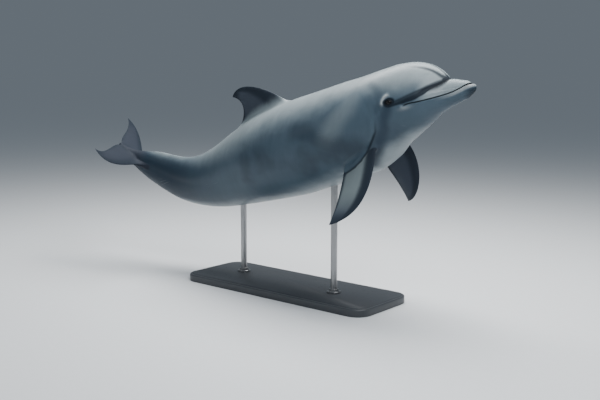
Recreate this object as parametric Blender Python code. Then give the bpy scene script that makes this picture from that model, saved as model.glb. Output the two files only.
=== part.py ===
"""A life-size still model of an adult bottlenose dolphin, swimming, on a plain display stand.

The animal is parted where a person would name its parts, and every part is one closed solid. All
the flesh comes from one surface: sections whose height and width follow a few stations, set along
a bent midline. A length of the body is a loft of those sections, and a fin is a blade between a
leading and a trailing edge, trimmed by the body that it grows from. Neighbours keep a thin gap.

Metres, +Z up. The dolphin heads towards +X with its right side towards -Y, and the origin is the
middle of the underside of the stand's base. Stations run from 0 at the tip of the beak to 1 at the
notch between the flukes, and the body's sizes are fractions of its length.
"""
from math import pi

import bmesh
import bpy
import numpy as np

# ---------------------------------------------------------------- driving dimensions
LENGTH = 2.6                  # tip of the beak to the notch of the flukes
GAP = 0.0003                  # clearance between neighbouring solids
CENTRE_STATION = 0.45         # this point of the midline is over the middle of the base
CENTRE_HEIGHT = 0.80

# Station, then degrees: climb of the midline, turn to the left, bank with the left side up.
POSTURE = [
    (0.03, 13, 14, -3), (0.12, 17, 7, -1), (0.22, 23, 1, 2), (0.36, 19, -3, 6), (0.50, 20, -3, 9),
    (0.62, 19, -1, 11), (0.74, 6, 4, 13), (0.84, -14, 13, 9), (0.92, -29, 32, 13), (1.00, -47, 50, 18)]

# Each size of the sections is a curve through (station, size), measured from the midline.
HEIGHT = [
    (0.13, 0.0731), (0.20, 0.0778), (0.25, 0.0848), (0.32, 0.0908), (0.42, 0.0965), (0.50, 0.0970),
    (0.58, 0.0875), (0.66, 0.0715), (0.76, 0.0540), (0.84, 0.0476), (0.88, 0.0420), (0.92, 0.0257),
    (0.95, 0.0120), (0.97, 0.0056), (0.992, 0.0022)]
DEPTH = [
    (0.0, 0.0180), (0.014, 0.0214), (0.038, 0.0278), (0.053, 0.0312), (0.075, 0.0397), (0.10, 0.0524),
    (0.13, 0.0650), (0.165, 0.0785), (0.20, 0.0945), (0.25, 0.1040), (0.32, 0.1020), (0.42, 0.1016),
    (0.50, 0.0945), (0.58, 0.0848), (0.66, 0.0757), (0.74, 0.0680), (0.80, 0.0595), (0.84, 0.0500),
    (0.90, 0.0352), (0.95, 0.0185), (0.992, 0.0030)]
HALF_WIDTH = [
    (0.0, 0.0120), (0.014, 0.0143), (0.038, 0.0206), (0.053, 0.0260), (0.075, 0.0400), (0.10, 0.0515),
    (0.13, 0.0594), (0.165, 0.0665), (0.20, 0.0760), (0.25, 0.0840), (0.32, 0.0880), (0.42, 0.0919),
    (0.50, 0.0871), (0.58, 0.0726), (0.66, 0.0555), (0.74, 0.0391), (0.82, 0.0248), (0.90, 0.0158),
    (0.95, 0.0130), (0.992, 0.0070)]
BEAK_HEIGHT = [(0.0, 0.0100), (0.014, 0.0124), (0.038, 0.0205), (0.06, 0.0238), (0.13, 0.0260)]
NOSE = 0.014                  # length over which the tip of a jaw rounds off
UPPER_TIP = 0.0015            # the upper jaw ends this far behind the lower
LIP_BACK = 0.0045             # how far the lips curl back at the tip
CHIN = 0.0075                 # how far the round chin swells forward
CHIN_DEPTH = 0.0110           # and how far below the mouth
MELON_FRONT = 0.0385          # the melon's dome starts here, inside the beak
MELON_CROWN = 0.13            # and is at its full height here
MELON_WIDTH = [(0.038, 0.60), (0.048, 0.78), (0.06, 0.89), (0.08, 0.95), (0.10, 0.99), (0.12, 1.0)]
CREASE = 0.0025               # softness of the crease between melon and beak
KEEL = [(0.50, 1.0), (0.80, 1.35), (0.93, 1.5), (1.0, 1.2)]   # how sharp the ridges of the tail are

DORSAL_STATION = 0.50         # the frames that the fins are drawn in
FLIPPER_STATION = 0.237
FLUKE_STATION = 0.97
FIN_EDGE = 0.0008             # thickness of a fin's trailing edge, as a part of LENGTH
FIN_END = 0.985               # a fin's tip is cut off here, as a part of its span
FULLEST = 0.385               # the most that sqrt(share) * (1 - share) reaches along a chord
EYE_STATION = 0.143
EYE_ANGLE = pi - 0.05         # measured round the section, for the right eye
EYE_RADIUS = 0.020
EYE_BULGE = 0.006             # how far the eyeball stands out of the skin's line

# The flesh between two stations, with the count of rings that its shape needs.
LENGTHS = {
    "head": (0.12, 0.168, 6), "neck": (0.168, 0.196, 4), "chest": (0.196, 0.40, 12),
    "trunk": (0.40, 0.60, 10), "loin": (0.60, 0.76, 9), "tail_stock": (0.76, 0.905, 9),
    "tail_end": (0.905, 0.992, 9)}
FACE_END = 0.12               # the corner of the mouth, where the jaws and melon meet the head
FACE_RINGS = 17
FACE_REACH = 0.14             # higher, and lower, than any of the head
LAYER_HALF_WIDTH = 0.065      # the sheets that part the face: wider than the head,
LAYER_OVERHANG = 0.03         # longer than the beak,
LAYER_SIDES, LAYER_STATIONS = 7, 16      # and with so many points across and along
MOUTH = [
    (-0.05, 0.0035), (0.0, 0.0035), (0.011, 0.002), (0.0255, -0.0022), (0.0394, -0.0057),
    (0.059, -0.0081), (0.0763, -0.0094), (0.0936, -0.0098), (0.1109, -0.0090), (0.14, -0.0090)]
MELON_BASE = [(-0.05, 0.12), (0.034, 0.028), (0.048, 0.020), (0.075, 0.0095), (0.10, 0.002), (0.14, -0.003)]
SIDES = 32                    # points round a section

# The display stand: a flat base, and two rods under the chest and the loin.
BASE_SIZE = (1.30, 0.46, 0.040)
BASE_CORNER = 0.09            # radius of a corner, seen from above
BASE_EDGE = 0.006             # radius of the top edge
ROD_RADIUS = 0.018
ROD_STATIONS = {"front": 0.36, "rear": 0.645}
COLLAR_RADIUS = 0.038
COLLAR_HEIGHT = 0.022
CLEAR = 0.01                  # how far a cutter runs past what it cuts


# ---------------------------------------------------------------- the body's surface
def through(keys, x, column=1):
    """A smooth curve through keys of (x, value, ...), with no overshoot between them."""
    keys = np.array(keys, float)
    kx, ky = keys[:, 0], keys[:, column]
    x = np.clip(np.asarray(x, float), kx[0], kx[-1])
    width = np.diff(kx)
    slope = np.diff(ky) / width
    tangent = np.zeros_like(ky)
    same = slope[1:] * slope[:-1] > 0
    steep = np.where(same, slope[1:] + slope[:-1], 1.0)
    tangent[1:-1] = np.where(same, 2 * slope[1:] * slope[:-1] / steep, 0.0)
    tangent[0], tangent[-1] = slope[0], slope[-1]
    i = np.clip(np.searchsorted(kx, x) - 1, 0, len(width) - 1)
    t = (x - kx[i]) / width[i]
    return ((1 + 2 * t) * (1 - t) ** 2 * ky[i] + t * (1 - t) ** 2 * width[i] * tangent[i]
            + t * t * (3 - 2 * t) * ky[i + 1] - t * t * (1 - t) * width[i] * tangent[i + 1])


def make_midline(steps=400):
    """Points and frames (forward, left, up) along the midline, from the beak to the notch."""
    station = np.linspace(0, 1, steps + 1)
    climb, turn, bank = (np.radians(through(POSTURE, station, column)) for column in (1, 2, 3))
    forward = np.stack([np.cos(climb) * np.cos(turn), np.cos(climb) * np.sin(turn), np.sin(climb)], 1)
    level = np.stack([-np.sin(turn), np.cos(turn), 0 * turn], 1)
    square = np.cross(forward, level)
    left = level * np.cos(bank)[:, None] + square * np.sin(bank)[:, None]
    up = np.cross(forward, left)
    stride = (forward[1:] + forward[:-1]) / 2 * LENGTH / steps
    point = np.concatenate([np.zeros((1, 3)), -np.cumsum(stride, 0)])
    point += np.array([0, 0, CENTRE_HEIGHT]) - point[int(CENTRE_STATION * steps)]
    return station, np.stack([point, forward, left, up])


STATION, FRAMES = make_midline()


def frame_at(station):
    """Point, forward, left and up of the midline at a station or an array of them."""
    return [np.stack([np.interp(station, STATION, part[:, k]) for k in range(3)], -1) for part in FRAMES]


def ellipse_radius(half_width, half_height, cosine, sine):
    return 1 / np.sqrt((cosine / half_width) ** 2 + (sine / half_height) ** 2)


def section(station, angle):
    """Sideways and upward offsets of the skin. Angle 0 is the left side and a quarter turn the back."""
    s, a = np.broadcast_arrays(np.asarray(station, float), np.asarray(angle, float))
    cosine, sine = np.cos(a), np.sin(a)
    on_head = s < MELON_CROWN
    below = through(DEPTH, s)
    width = through(HALF_WIDTH, s)
    ahead = np.clip((MELON_CROWN - s) / (MELON_CROWN - MELON_FRONT), 0, 0.9999)
    melon = through(HEIGHT, s) * np.sqrt(1 - ahead ** 2)
    beak = np.where(on_head, through(BEAK_HEIGHT, s), melon)
    above = np.maximum(beak, melon)
    keel = through(KEEL, s)
    across = width * np.sign(cosine) * np.abs(cosine) ** keel
    rise = np.where(sine > 0, above, below) * sine
    # On the head's upper half the outer one of beak and melon shows, with a crease between them.
    radius = np.hypot(across, rise) + 1e-9
    co, si = across / radius, rise / radius
    r_beak = ellipse_radius(width, beak, co, si)
    r_melon = ellipse_radius(width * through(MELON_WIDTH, s), melon, co, si)
    crease = CREASE * np.clip(s / MELON_FRONT, 0, 1) * np.clip((MELON_CROWN - s) / 0.02, 0, 1)
    outer = (r_beak + r_melon + np.sqrt((r_beak - r_melon) ** 2 + crease ** 2) - crease) / 2
    factor = np.where(on_head & (sine > 0), outer / radius, 1.0)
    # The tip rounds off about the line of the mouth, and the upper jaw ends first.
    nose, upper_nose = (np.sqrt(1 - (1 - np.clip((s - tip) / NOSE, 0, 1)) ** 2) for tip in (0, UPPER_TIP))
    mouth = np.where(on_head, through(MOUTH, s), 0.0)
    height = rise * factor - mouth
    return across * factor * nose, mouth + height * np.where(height > 0, upper_nose, nose)


def skin(station, angle, inflate=0.0):
    """Points of the body's surface, or of one that lies further out by inflate."""
    across, rise = section(station, angle)
    s = np.broadcast_to(np.asarray(station, float), across.shape)
    point, forward, left, up = frame_at(s)
    reach = np.hypot(across, rise)[..., None] + 1e-9
    below = np.clip((through(MOUTH, s) - rise) / CHIN_DEPTH - 1, -1, 1)
    chin = (CHIN * (1 - below ** 2) ** 2 - LIP_BACK) * np.clip(1 - s / 0.05, 0, 1) ** 2
    offset = across[..., None] * left + rise[..., None] * up
    return point + LENGTH * (offset + chin[..., None] * forward) + inflate * offset / reach


def skin_normal(station, angle):
    step = 1e-4
    along = skin(station - step, angle) - skin(station + step, angle)
    around = skin(station, angle + step) - skin(station, angle - step)
    normal = np.cross(around, along)
    return normal / np.linalg.norm(normal)


# ---------------------------------------------------------------- making objects
def fresh_collections():
    for item in list(bpy.data.objects):
        bpy.data.objects.remove(item, do_unlink=True)
    made = []
    for name in ("bottlenose_dolphin", "cutters"):
        collection = bpy.data.collections.new(name)
        bpy.context.scene.collection.children.link(collection)
        made.append(collection)
    return made


PARTS, CUTTERS = fresh_collections()


def make_material(name, colour, roughness, metallic=0.0):
    material = bpy.data.materials.new(name)
    material.use_nodes = True
    shader = material.node_tree.nodes["Principled BSDF"]
    shader.inputs["Base Color"].default_value = (*colour, 1)
    shader.inputs["Roughness"].default_value = roughness
    shader.inputs["Metallic"].default_value = metallic
    return material


def add_object(name, mesh, material=None):
    """Link a part with its material, or a cutter where there is none."""
    thing = bpy.data.objects.new(name, mesh)
    if material:
        PARTS.objects.link(thing)
        mesh.materials.append(material)
        mesh.shade_smooth()
        mesh.set_sharp_from_angle(angle=pi / 4)
    else:
        CUTTERS.objects.link(thing)
        thing.hide_render = True
        thing.display_type = "WIRE"
    return thing


def loft(rings, name):
    """A closed mesh over rings with the same count of points, with a flat cap at each end."""
    rings = np.asarray(rings)
    count, size = rings.shape[:2]
    shape = bmesh.new()
    verts = [[shape.verts.new(p) for p in ring] for ring in rings]
    for i in range(count - 1):
        for j in range(size):
            k = (j + 1) % size
            shape.faces.new((verts[i][j], verts[i + 1][j], verts[i + 1][k], verts[i][k]))
    shape.faces.new(verts[0])
    shape.faces.new(verts[-1][::-1])
    bmesh.ops.remove_doubles(shape, verts=shape.verts, dist=1e-6)
    bmesh.ops.recalc_face_normals(shape, faces=shape.faces)
    mesh = bpy.data.meshes.new(name)
    shape.to_mesh(mesh)
    shape.free()
    return mesh


def body_length(start, end, rings, name, inflate=0.0):
    """The body between two stations, with rings closer together where it starts at the beak."""
    share = np.linspace(0, 1, rings)
    stations = start + (end - start) * (share ** 1.6 if start == 0 else share)
    angles = np.arange(SIDES) * 2 * pi / SIDES
    return loft(skin(stations[:, None], angles[None, :], inflate), name)


def cut(thing, cutter, operation="DIFFERENCE"):
    step = thing.modifiers.new(cutter.name, "BOOLEAN")
    step.operation = operation
    step.object = cutter
    step.solver = "EXACT"


def ball(name, centre, radius, material=None, segments=18, rings=11):
    shape = bmesh.new()
    bmesh.ops.create_uvsphere(shape, u_segments=segments, v_segments=rings, radius=radius)
    bmesh.ops.translate(shape, verts=shape.verts, vec=centre)
    mesh = bpy.data.meshes.new(name)
    shape.to_mesh(mesh)
    shape.free()
    return add_object(name, mesh, material)


def upright_cylinder(name, x, y, low, high, radius, material=None, segments=24):
    shape = bmesh.new()
    bmesh.ops.create_cone(shape, cap_ends=True, segments=segments, radius1=radius, radius2=radius,
                          depth=high - low)
    bmesh.ops.translate(shape, verts=shape.verts, vec=(x, y, (low + high) / 2))
    mesh = bpy.data.meshes.new(name)
    shape.to_mesh(mesh)
    shape.free()
    return add_object(name, mesh, material)


# ---------------------------------------------------------------- fins
def bezier(controls, t):
    a, b, c, d = (np.array(point, float) for point in controls)
    t = np.asarray(t, float)[..., None]
    return (1 - t) ** 3 * a + 3 * t * (1 - t) ** 2 * b + 3 * t * t * (1 - t) * c + t ** 3 * d


def blade(leading, trailing, thickness, spans=12, chords=7):
    """Rings of a fin between two edges, in its own frame: forward, outward, up, as parts of LENGTH.

    The thickness is a part of the chord. The rings are closer together near the tip, where the fin
    narrows, and a section is thickest a third of the way from its leading edge.
    """
    t = 1 - (1 - np.linspace(0, FIN_END, spans)) ** 1.35
    front, rear = bezier(leading, t), bezier(trailing, t)
    chord = rear - front
    size = np.linalg.norm(chord, axis=1)
    root_to_tip = np.gradient((front + rear) / 2, axis=0)
    normal = np.cross(chord, root_to_tip)
    normal /= np.linalg.norm(normal, axis=1)[:, None]
    share = (1 - np.cos(np.linspace(0, pi, chords))) / 2
    half = np.sqrt(share) * (1 - share) / FULLEST * thickness / 2
    half = half[None, :] * size[:, None] + (share * FIN_EDGE / 2)[None, :]
    middle = front[:, None] + share[None, :, None] * chord[:, None]
    one = middle + half[..., None] * normal[:, None]
    other = middle - half[..., None] * normal[:, None]
    return np.concatenate([one, other[:, :0:-1]], axis=1)


def placed(rings, station, side=1):
    """Rings in a fin's frame, moved to the midline at a station. Side -1 mirrors them to the right."""
    point, forward, left, up = frame_at(station)
    return point + LENGTH * (rings[..., :1] * forward + side * rings[..., 1:2] * left + rings[..., 2:] * up)


def dorsal_fin_rings():
    leading = [(0.096, 0, 0.088), (0.046, 0, 0.147), (-0.028, 0, 0.188), (-0.061, 0, 0.157)]
    trailing = [(-0.088, 0, 0.084), (-0.052, 0, 0.094), (-0.018, 0, 0.136), (-0.061, 0, 0.157)]
    return placed(blade(leading, trailing, 0.10), DORSAL_STATION)


def flipper_rings(side):
    leading = [
        (0.035, 0.036, -0.042), (0.048, 0.095, -0.102), (0.001, 0.092, -0.183), (-0.064, 0.141, -0.175)]
    trailing = [
        (-0.031, 0.038, -0.043), (-0.047, 0.079, -0.097), (-0.042, 0.100, -0.129), (-0.064, 0.141, -0.175)]
    return placed(blade(leading, trailing, 0.15), FLIPPER_STATION, side)


def fluke_rings(side):
    leading = [(0.056, 0, 0), (0.029, 0.058, -0.006), (0.003, 0.144, -0.003), (-0.048, 0.126, 0.010)]
    trailing = [(-0.011, 0, 0), (-0.036, 0.024, 0.004), (-0.016, 0.092, -0.004), (-0.048, 0.126, 0.010)]
    return placed(blade(leading, trailing, 0.10), FLUKE_STATION, side)


# ---------------------------------------------------------------- the animal
def make_flesh(material):
    """The lengths of the body, and cutters of the same form that are larger by the gap."""
    grown = {}
    for name, (start, end, rings) in LENGTHS.items():
        trim = GAP / LENGTH / 2
        add_object(name, body_length(start + trim, end - trim, rings, name), material)
    for name in ("chest", "trunk", "loin", "tail_end"):
        start, end, rings = LENGTHS[name]
        grown[name] = add_object(name + "_grown", body_length(start, end, rings, name + "_grown", GAP))
    return grown


def slab(low, high, name):
    """A thick sheet across the face, between two heights that follow a curve of the station."""
    stations = np.linspace(-LAYER_OVERHANG, FACE_END + LAYER_OVERHANG, LAYER_STATIONS)
    point, forward, left, up = frame_at(stations)
    point = point + LENGTH * np.clip(-stations, 0, 1)[:, None] * forward
    sides = np.linspace(-LAYER_HALF_WIDTH, LAYER_HALF_WIDTH, LAYER_SIDES)
    corners = [(side, low) for side in sides] + [(side, high) for side in sides[::-1]]
    rings = [point + LENGTH * (side * left + edge(stations)[:, None] * up) for side, edge in corners]
    return add_object(name, loft(np.stack(rings, 1), name))


def make_face(materials):
    """The front of the head, parted along the mouth and along the melon's base."""
    half = GAP / LENGTH / 2

    def mouth(station):
        return through(MOUTH, station)

    def melon(station):
        return through(MELON_BASE, station)

    def top(station):
        return FACE_REACH + 0 * station

    layers = {
        "lower_jaw": ("belly", lambda s: -top(s), lambda s: mouth(s) - half),
        "upper_jaw": ("side", lambda s: mouth(s) + half, lambda s: melon(s) - half),
        "melon": ("back", lambda s: melon(s) + half, top)}
    for name, (tint, low, high) in layers.items():
        mesh = body_length(0, FACE_END - half, FACE_RINGS, name)
        cut(add_object(name, mesh, materials[tint]), slab(low, high, name + "_layer"), "INTERSECT")


def make_eyes(material):
    """Eyeballs that stand a little out of the skin, in sockets cut from the head."""
    head = bpy.data.objects["head"]
    for name, angle in (("eye_right", EYE_ANGLE), ("eye_left", pi - EYE_ANGLE)):
        centre = skin(EYE_STATION, angle) - skin_normal(EYE_STATION, angle) * (EYE_RADIUS - EYE_BULGE)
        ball(name, centre, EYE_RADIUS, material)
        cut(head, ball(name + "_socket", centre, EYE_RADIUS + GAP))


def make_fins(material, grown):
    """The dorsal fin, the flippers and the flukes, each trimmed by the body that it grows from."""
    fins = {"dorsal_fin": (dorsal_fin_rings(), "trunk")}
    for word, side in (("left", 1), ("right", -1)):
        fins["flipper_" + word] = (flipper_rings(side), "chest")
        fins["fluke_" + word] = (fluke_rings(side), "tail_end")
    for name, (rings, body) in fins.items():
        cut(add_object(name, loft(rings, name), material), grown[body])


# ---------------------------------------------------------------- the stand
def make_base(material):
    shape = bmesh.new()
    bmesh.ops.create_cube(shape, size=1)
    bmesh.ops.scale(shape, verts=shape.verts, vec=BASE_SIZE)
    bmesh.ops.translate(shape, verts=shape.verts, vec=(0, 0, BASE_SIZE[2] / 2))
    upright = [e for e in shape.edges if abs(e.verts[0].co.z - e.verts[1].co.z) > BASE_SIZE[2] / 2]
    bmesh.ops.bevel(shape, geom=upright, offset=BASE_CORNER, segments=8, profile=0.5, affect="EDGES")
    rim = [e for e in shape.edges if all(v.co.z > BASE_SIZE[2] * 0.9 for v in e.verts)]
    bmesh.ops.bevel(shape, geom=rim, offset=BASE_EDGE, segments=2, profile=0.5, affect="EDGES")
    mesh = bpy.data.meshes.new("stand_base")
    shape.to_mesh(mesh)
    shape.free()
    add_object("stand_base", mesh, material)


def lowest_point(station):
    points = skin(station, np.linspace(pi, 2 * pi, 181))
    return points[points[:, 2].argmin()]


def make_rod(word, station, steel, grown):
    """A round rod from the base to the belly, whose top follows the skin, with a collar at its foot."""
    x, y, belly = lowest_point(station)
    foot = BASE_SIZE[2] + GAP
    rod = upright_cylinder("stand_rod_" + word, x, y, foot, belly + ROD_RADIUS, ROD_RADIUS, steel)
    cut(rod, grown)
    collar = upright_cylinder("stand_collar_" + word, x, y, foot, foot + COLLAR_HEIGHT, COLLAR_RADIUS,
                              steel, 32)
    hole = upright_cylinder(word + "_collar_hole", x, y, foot - CLEAR, foot + COLLAR_HEIGHT + CLEAR,
                            ROD_RADIUS + GAP)
    cut(collar, hole)


def main():
    flesh = {
        "back": make_material("slate_back", (0.16, 0.20, 0.24), 0.35),
        "side": make_material("grey_side", (0.30, 0.35, 0.38), 0.35),
        "belly": make_material("pale_belly", (0.62, 0.64, 0.63), 0.4),
        "fin": make_material("dark_fin", (0.10, 0.13, 0.17), 0.35)}
    eye = make_material("dark_eye", (0.02, 0.015, 0.012), 0.05)
    painted = make_material("painted_base", (0.05, 0.05, 0.055), 0.4)
    steel = make_material("brushed_steel", (0.6, 0.6, 0.6), 0.3, 1.0)
    grown = make_flesh(flesh["side"])
    make_face(flesh)
    make_eyes(eye)
    make_fins(flesh["fin"], grown)
    make_base(painted)
    make_rod("front", ROD_STATIONS["front"], steel, grown["chest"])
    make_rod("rear", ROD_STATIONS["rear"], steel, grown["loin"])


main()
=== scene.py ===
# %% [markdown]
# # A bottlenose dolphin, life size, on a display stand
#
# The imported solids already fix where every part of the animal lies. This lesson gives them their
# looks: one unbroken skin in place of the solid lengths of flesh, real eyes behind lids, a wet grey
# hide with its markings, and a plain stand of steel rods on a painted plate. Every size is in
# metres, +Z is up, and the dolphin heads towards +X with its right side towards -Y.

from math import cos, pi, radians, sin

import bmesh
import bpy
import numpy as np
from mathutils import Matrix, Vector


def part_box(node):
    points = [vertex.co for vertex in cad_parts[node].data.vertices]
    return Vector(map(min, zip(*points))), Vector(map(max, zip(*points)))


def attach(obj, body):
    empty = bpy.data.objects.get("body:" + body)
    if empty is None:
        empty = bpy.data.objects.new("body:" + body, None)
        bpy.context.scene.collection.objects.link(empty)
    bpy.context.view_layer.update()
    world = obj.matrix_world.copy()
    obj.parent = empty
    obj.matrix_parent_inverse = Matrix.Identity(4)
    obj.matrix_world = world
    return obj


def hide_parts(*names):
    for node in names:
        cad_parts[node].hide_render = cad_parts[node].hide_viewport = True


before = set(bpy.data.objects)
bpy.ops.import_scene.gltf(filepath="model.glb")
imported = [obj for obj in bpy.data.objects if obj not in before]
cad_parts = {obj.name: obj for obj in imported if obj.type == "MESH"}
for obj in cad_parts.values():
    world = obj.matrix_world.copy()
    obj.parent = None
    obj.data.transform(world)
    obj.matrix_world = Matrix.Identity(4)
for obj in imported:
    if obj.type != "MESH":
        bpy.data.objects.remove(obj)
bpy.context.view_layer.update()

# %% [markdown]
# ## The camera
#
# A model of this size is best seen from a few metres away with a slightly long lens. The camera
# stands off the animal's right bow, a little higher than its eye, and looks at a point under the
# belly, so that the dolphin fills the upper half of the frame and the stand fits below it.

# %% Camera
VIEW_AZIMUTH = radians(40)        # 0 looks along +Y, and it turns towards the head
VIEW_HEIGHT = radians(8.9)
VIEW_DISTANCE = 5.0
VIEW_TARGET = Vector((0.0625, -0.004, 0.5245))
LENS, SENSOR = 54.1, 36            # millimetres


def make_camera():
    camera = bpy.data.objects.new("camera", bpy.data.cameras.new("camera"))
    bpy.context.scene.collection.objects.link(camera)
    away = Vector((sin(VIEW_AZIMUTH) * cos(VIEW_HEIGHT), -cos(VIEW_AZIMUTH) * cos(VIEW_HEIGHT),
                   sin(VIEW_HEIGHT)))
    camera.location = VIEW_TARGET + VIEW_DISTANCE * away
    camera.rotation_euler = away.to_track_quat("Z", "Y").to_euler()
    camera.data.lens = LENS
    camera.data.sensor_width = SENSOR
    bpy.context.scene.camera = camera
    return camera


camera = make_camera()
print("camera stands at", *np.round(camera.location, 2))

# %% [markdown]
# ## The body as one surface
#
# A dolphin is nearly a drawn-out drop: its sections are ovals strung along a bent midline. So the
# whole animal can be written as a surface with two coordinates. The *station* runs from 0 at the
# tip of the beak to 1 at the notch of the flukes, and the *angle* runs round a section, with 0 on
# the left side and a quarter turn on the back. Sizes are fractions of the length. These are the
# sizes that the solids were built from, so the skin lies on them. It differs in two places that
# only a fine mesh can follow: the chin is rounder, and the flesh ends sooner between the flukes.

# %% Sizes of the body
LENGTH = 2.6                      # tip of the beak to the notch of the flukes
CENTRE_STATION = 0.45
CENTRE_HEIGHT = 0.80
BODY_END = 0.988                  # the flesh between the flukes ends here

# Station, then degrees: climb of the midline, turn to the left, bank with the left side up.
POSTURE = [
    (0.03, 13, 14, -3), (0.12, 17, 7, -1), (0.22, 23, 1, 2), (0.36, 19, -3, 6), (0.50, 20, -3, 9),
    (0.62, 19, -1, 11), (0.74, 6, 4, 13), (0.84, -14, 13, 9), (0.92, -29, 32, 13), (1.00, -47, 50, 18)]

# Each size of the sections is a curve through (station, size), measured from the midline.
HEIGHT = [
    (0.13, 0.0731), (0.20, 0.0778), (0.25, 0.0848), (0.32, 0.0908), (0.42, 0.0965), (0.50, 0.0970),
    (0.58, 0.0875), (0.66, 0.0715), (0.76, 0.0540), (0.84, 0.0476), (0.88, 0.0420), (0.92, 0.0257),
    (0.95, 0.0120), (0.97, 0.0056), (0.992, 0.0022)]
DEPTH = [
    (0.0, 0.0180), (0.014, 0.0214), (0.038, 0.0278), (0.053, 0.0312), (0.075, 0.0397), (0.10, 0.0524),
    (0.13, 0.0650), (0.165, 0.0785), (0.20, 0.0945), (0.25, 0.1040), (0.32, 0.1020), (0.42, 0.1016),
    (0.50, 0.0945), (0.58, 0.0848), (0.66, 0.0757), (0.74, 0.0680), (0.80, 0.0595), (0.84, 0.0500),
    (0.90, 0.0352), (0.95, 0.0185), (0.992, 0.0030)]
HALF_WIDTH = [
    (0.0, 0.0120), (0.014, 0.0143), (0.038, 0.0206), (0.053, 0.0260), (0.075, 0.0400), (0.10, 0.0515),
    (0.13, 0.0594), (0.165, 0.0665), (0.20, 0.0760), (0.25, 0.0840), (0.32, 0.0880), (0.42, 0.0919),
    (0.50, 0.0871), (0.58, 0.0726), (0.66, 0.0555), (0.74, 0.0391), (0.82, 0.0248), (0.90, 0.0158),
    (0.95, 0.0130), (0.975, 0.0090), (0.988, 0.0035)]
BEAK_HEIGHT = [(0.0, 0.0100), (0.014, 0.0124), (0.038, 0.0205), (0.06, 0.0238), (0.13, 0.0260)]
NOSE = 0.014                      # length over which the tip of a jaw rounds off
UPPER_TIP = 0.0015                # the upper jaw ends this far behind the lower
LIP_BACK = 0.0045                 # how far the lips curl back at the tip
CHIN = 0.0075                     # how far the round chin swells forward
CHIN_DEPTH = 0.0110               # and how far below the mouth
CHIN_BACK = 0.05                  # by this station both have faded out
MELON_FRONT = 0.0385              # the melon's dome starts here, inside the beak
MELON_CROWN = 0.13                # and is at its full height here
MELON_WIDTH = [(0.038, 0.60), (0.048, 0.78), (0.06, 0.89), (0.08, 0.95), (0.10, 0.99), (0.12, 1.0)]
CREASE, CREASE_FADE = 0.0025, 0.02    # softness of the crease between melon and beak, and its end
KEEL = [(0.50, 1.0), (0.80, 1.35), (0.93, 1.5), (1.0, 1.2)]
MOUTH = [(-0.05, 0.0035), (0.0, 0.0035), (0.011, 0.002), (0.0255, -0.0022), (0.0394, -0.0057),
         (0.059, -0.0081), (0.0763, -0.0094), (0.0936, -0.0098), (0.1109, -0.0090), (0.14, -0.0090)]
MOUTH_CORNER = 0.12
widest = 2 * LENGTH * max(half for _, half in HALF_WIDTH)
print("the body is", LENGTH, "m long and", round(widest, 2), "m wide at most")


# %% Curves and the midline
def through(keys, x, column=1):
    """A smooth curve through keys of (x, value, ...), with no overshoot between them."""
    keys = np.array(keys, float)
    kx, ky = keys[:, 0], keys[:, column]
    x = np.clip(np.asarray(x, float), kx[0], kx[-1])
    width = np.diff(kx)
    slope = np.diff(ky) / width
    tangent = np.zeros_like(ky)
    same = slope[1:] * slope[:-1] > 0
    steep = np.where(same, slope[1:] + slope[:-1], 1.0)
    tangent[1:-1] = np.where(same, 2 * slope[1:] * slope[:-1] / steep, 0.0)
    tangent[0], tangent[-1] = slope[0], slope[-1]
    i = np.clip(np.searchsorted(kx, x) - 1, 0, len(width) - 1)
    t = (x - kx[i]) / width[i]
    return ((1 + 2 * t) * (1 - t) ** 2 * ky[i] + t * (1 - t) ** 2 * width[i] * tangent[i]
            + t * t * (3 - 2 * t) * ky[i + 1] - t * t * (1 - t) * width[i] * tangent[i + 1])


def make_midline(steps=400):
    """Points and frames (forward, left, up) along the midline, from the beak to the notch."""
    station = np.linspace(0, 1, steps + 1)
    climb, turn, bank = (np.radians(through(POSTURE, station, column)) for column in (1, 2, 3))
    forward = np.stack([np.cos(climb) * np.cos(turn), np.cos(climb) * np.sin(turn), np.sin(climb)], 1)
    level = np.stack([-np.sin(turn), np.cos(turn), 0 * turn], 1)
    square = np.cross(forward, level)
    left = level * np.cos(bank)[:, None] + square * np.sin(bank)[:, None]
    up = np.cross(forward, left)
    stride = (forward[1:] + forward[:-1]) / 2 * LENGTH / steps
    point = np.concatenate([np.zeros((1, 3)), -np.cumsum(stride, 0)])
    point += np.array([0, 0, CENTRE_HEIGHT]) - point[int(CENTRE_STATION * steps)]
    return station, np.stack([point, forward, left, up])


STATION, FRAMES = make_midline()
print("the midline runs from", *np.round(FRAMES[0][0], 3), "to", *np.round(FRAMES[0][-1], 3))


def frame_at(station):
    """Point, forward, left and up of the midline at a station or an array of them."""
    return [np.stack([np.interp(station, STATION, part[:, k]) for k in range(3)], -1) for part in FRAMES]


# %% Sections
def ellipse_radius(half_width, half_height, cosine, sine):
    return 1 / np.sqrt((cosine / half_width) ** 2 + (sine / half_height) ** 2)


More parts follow.
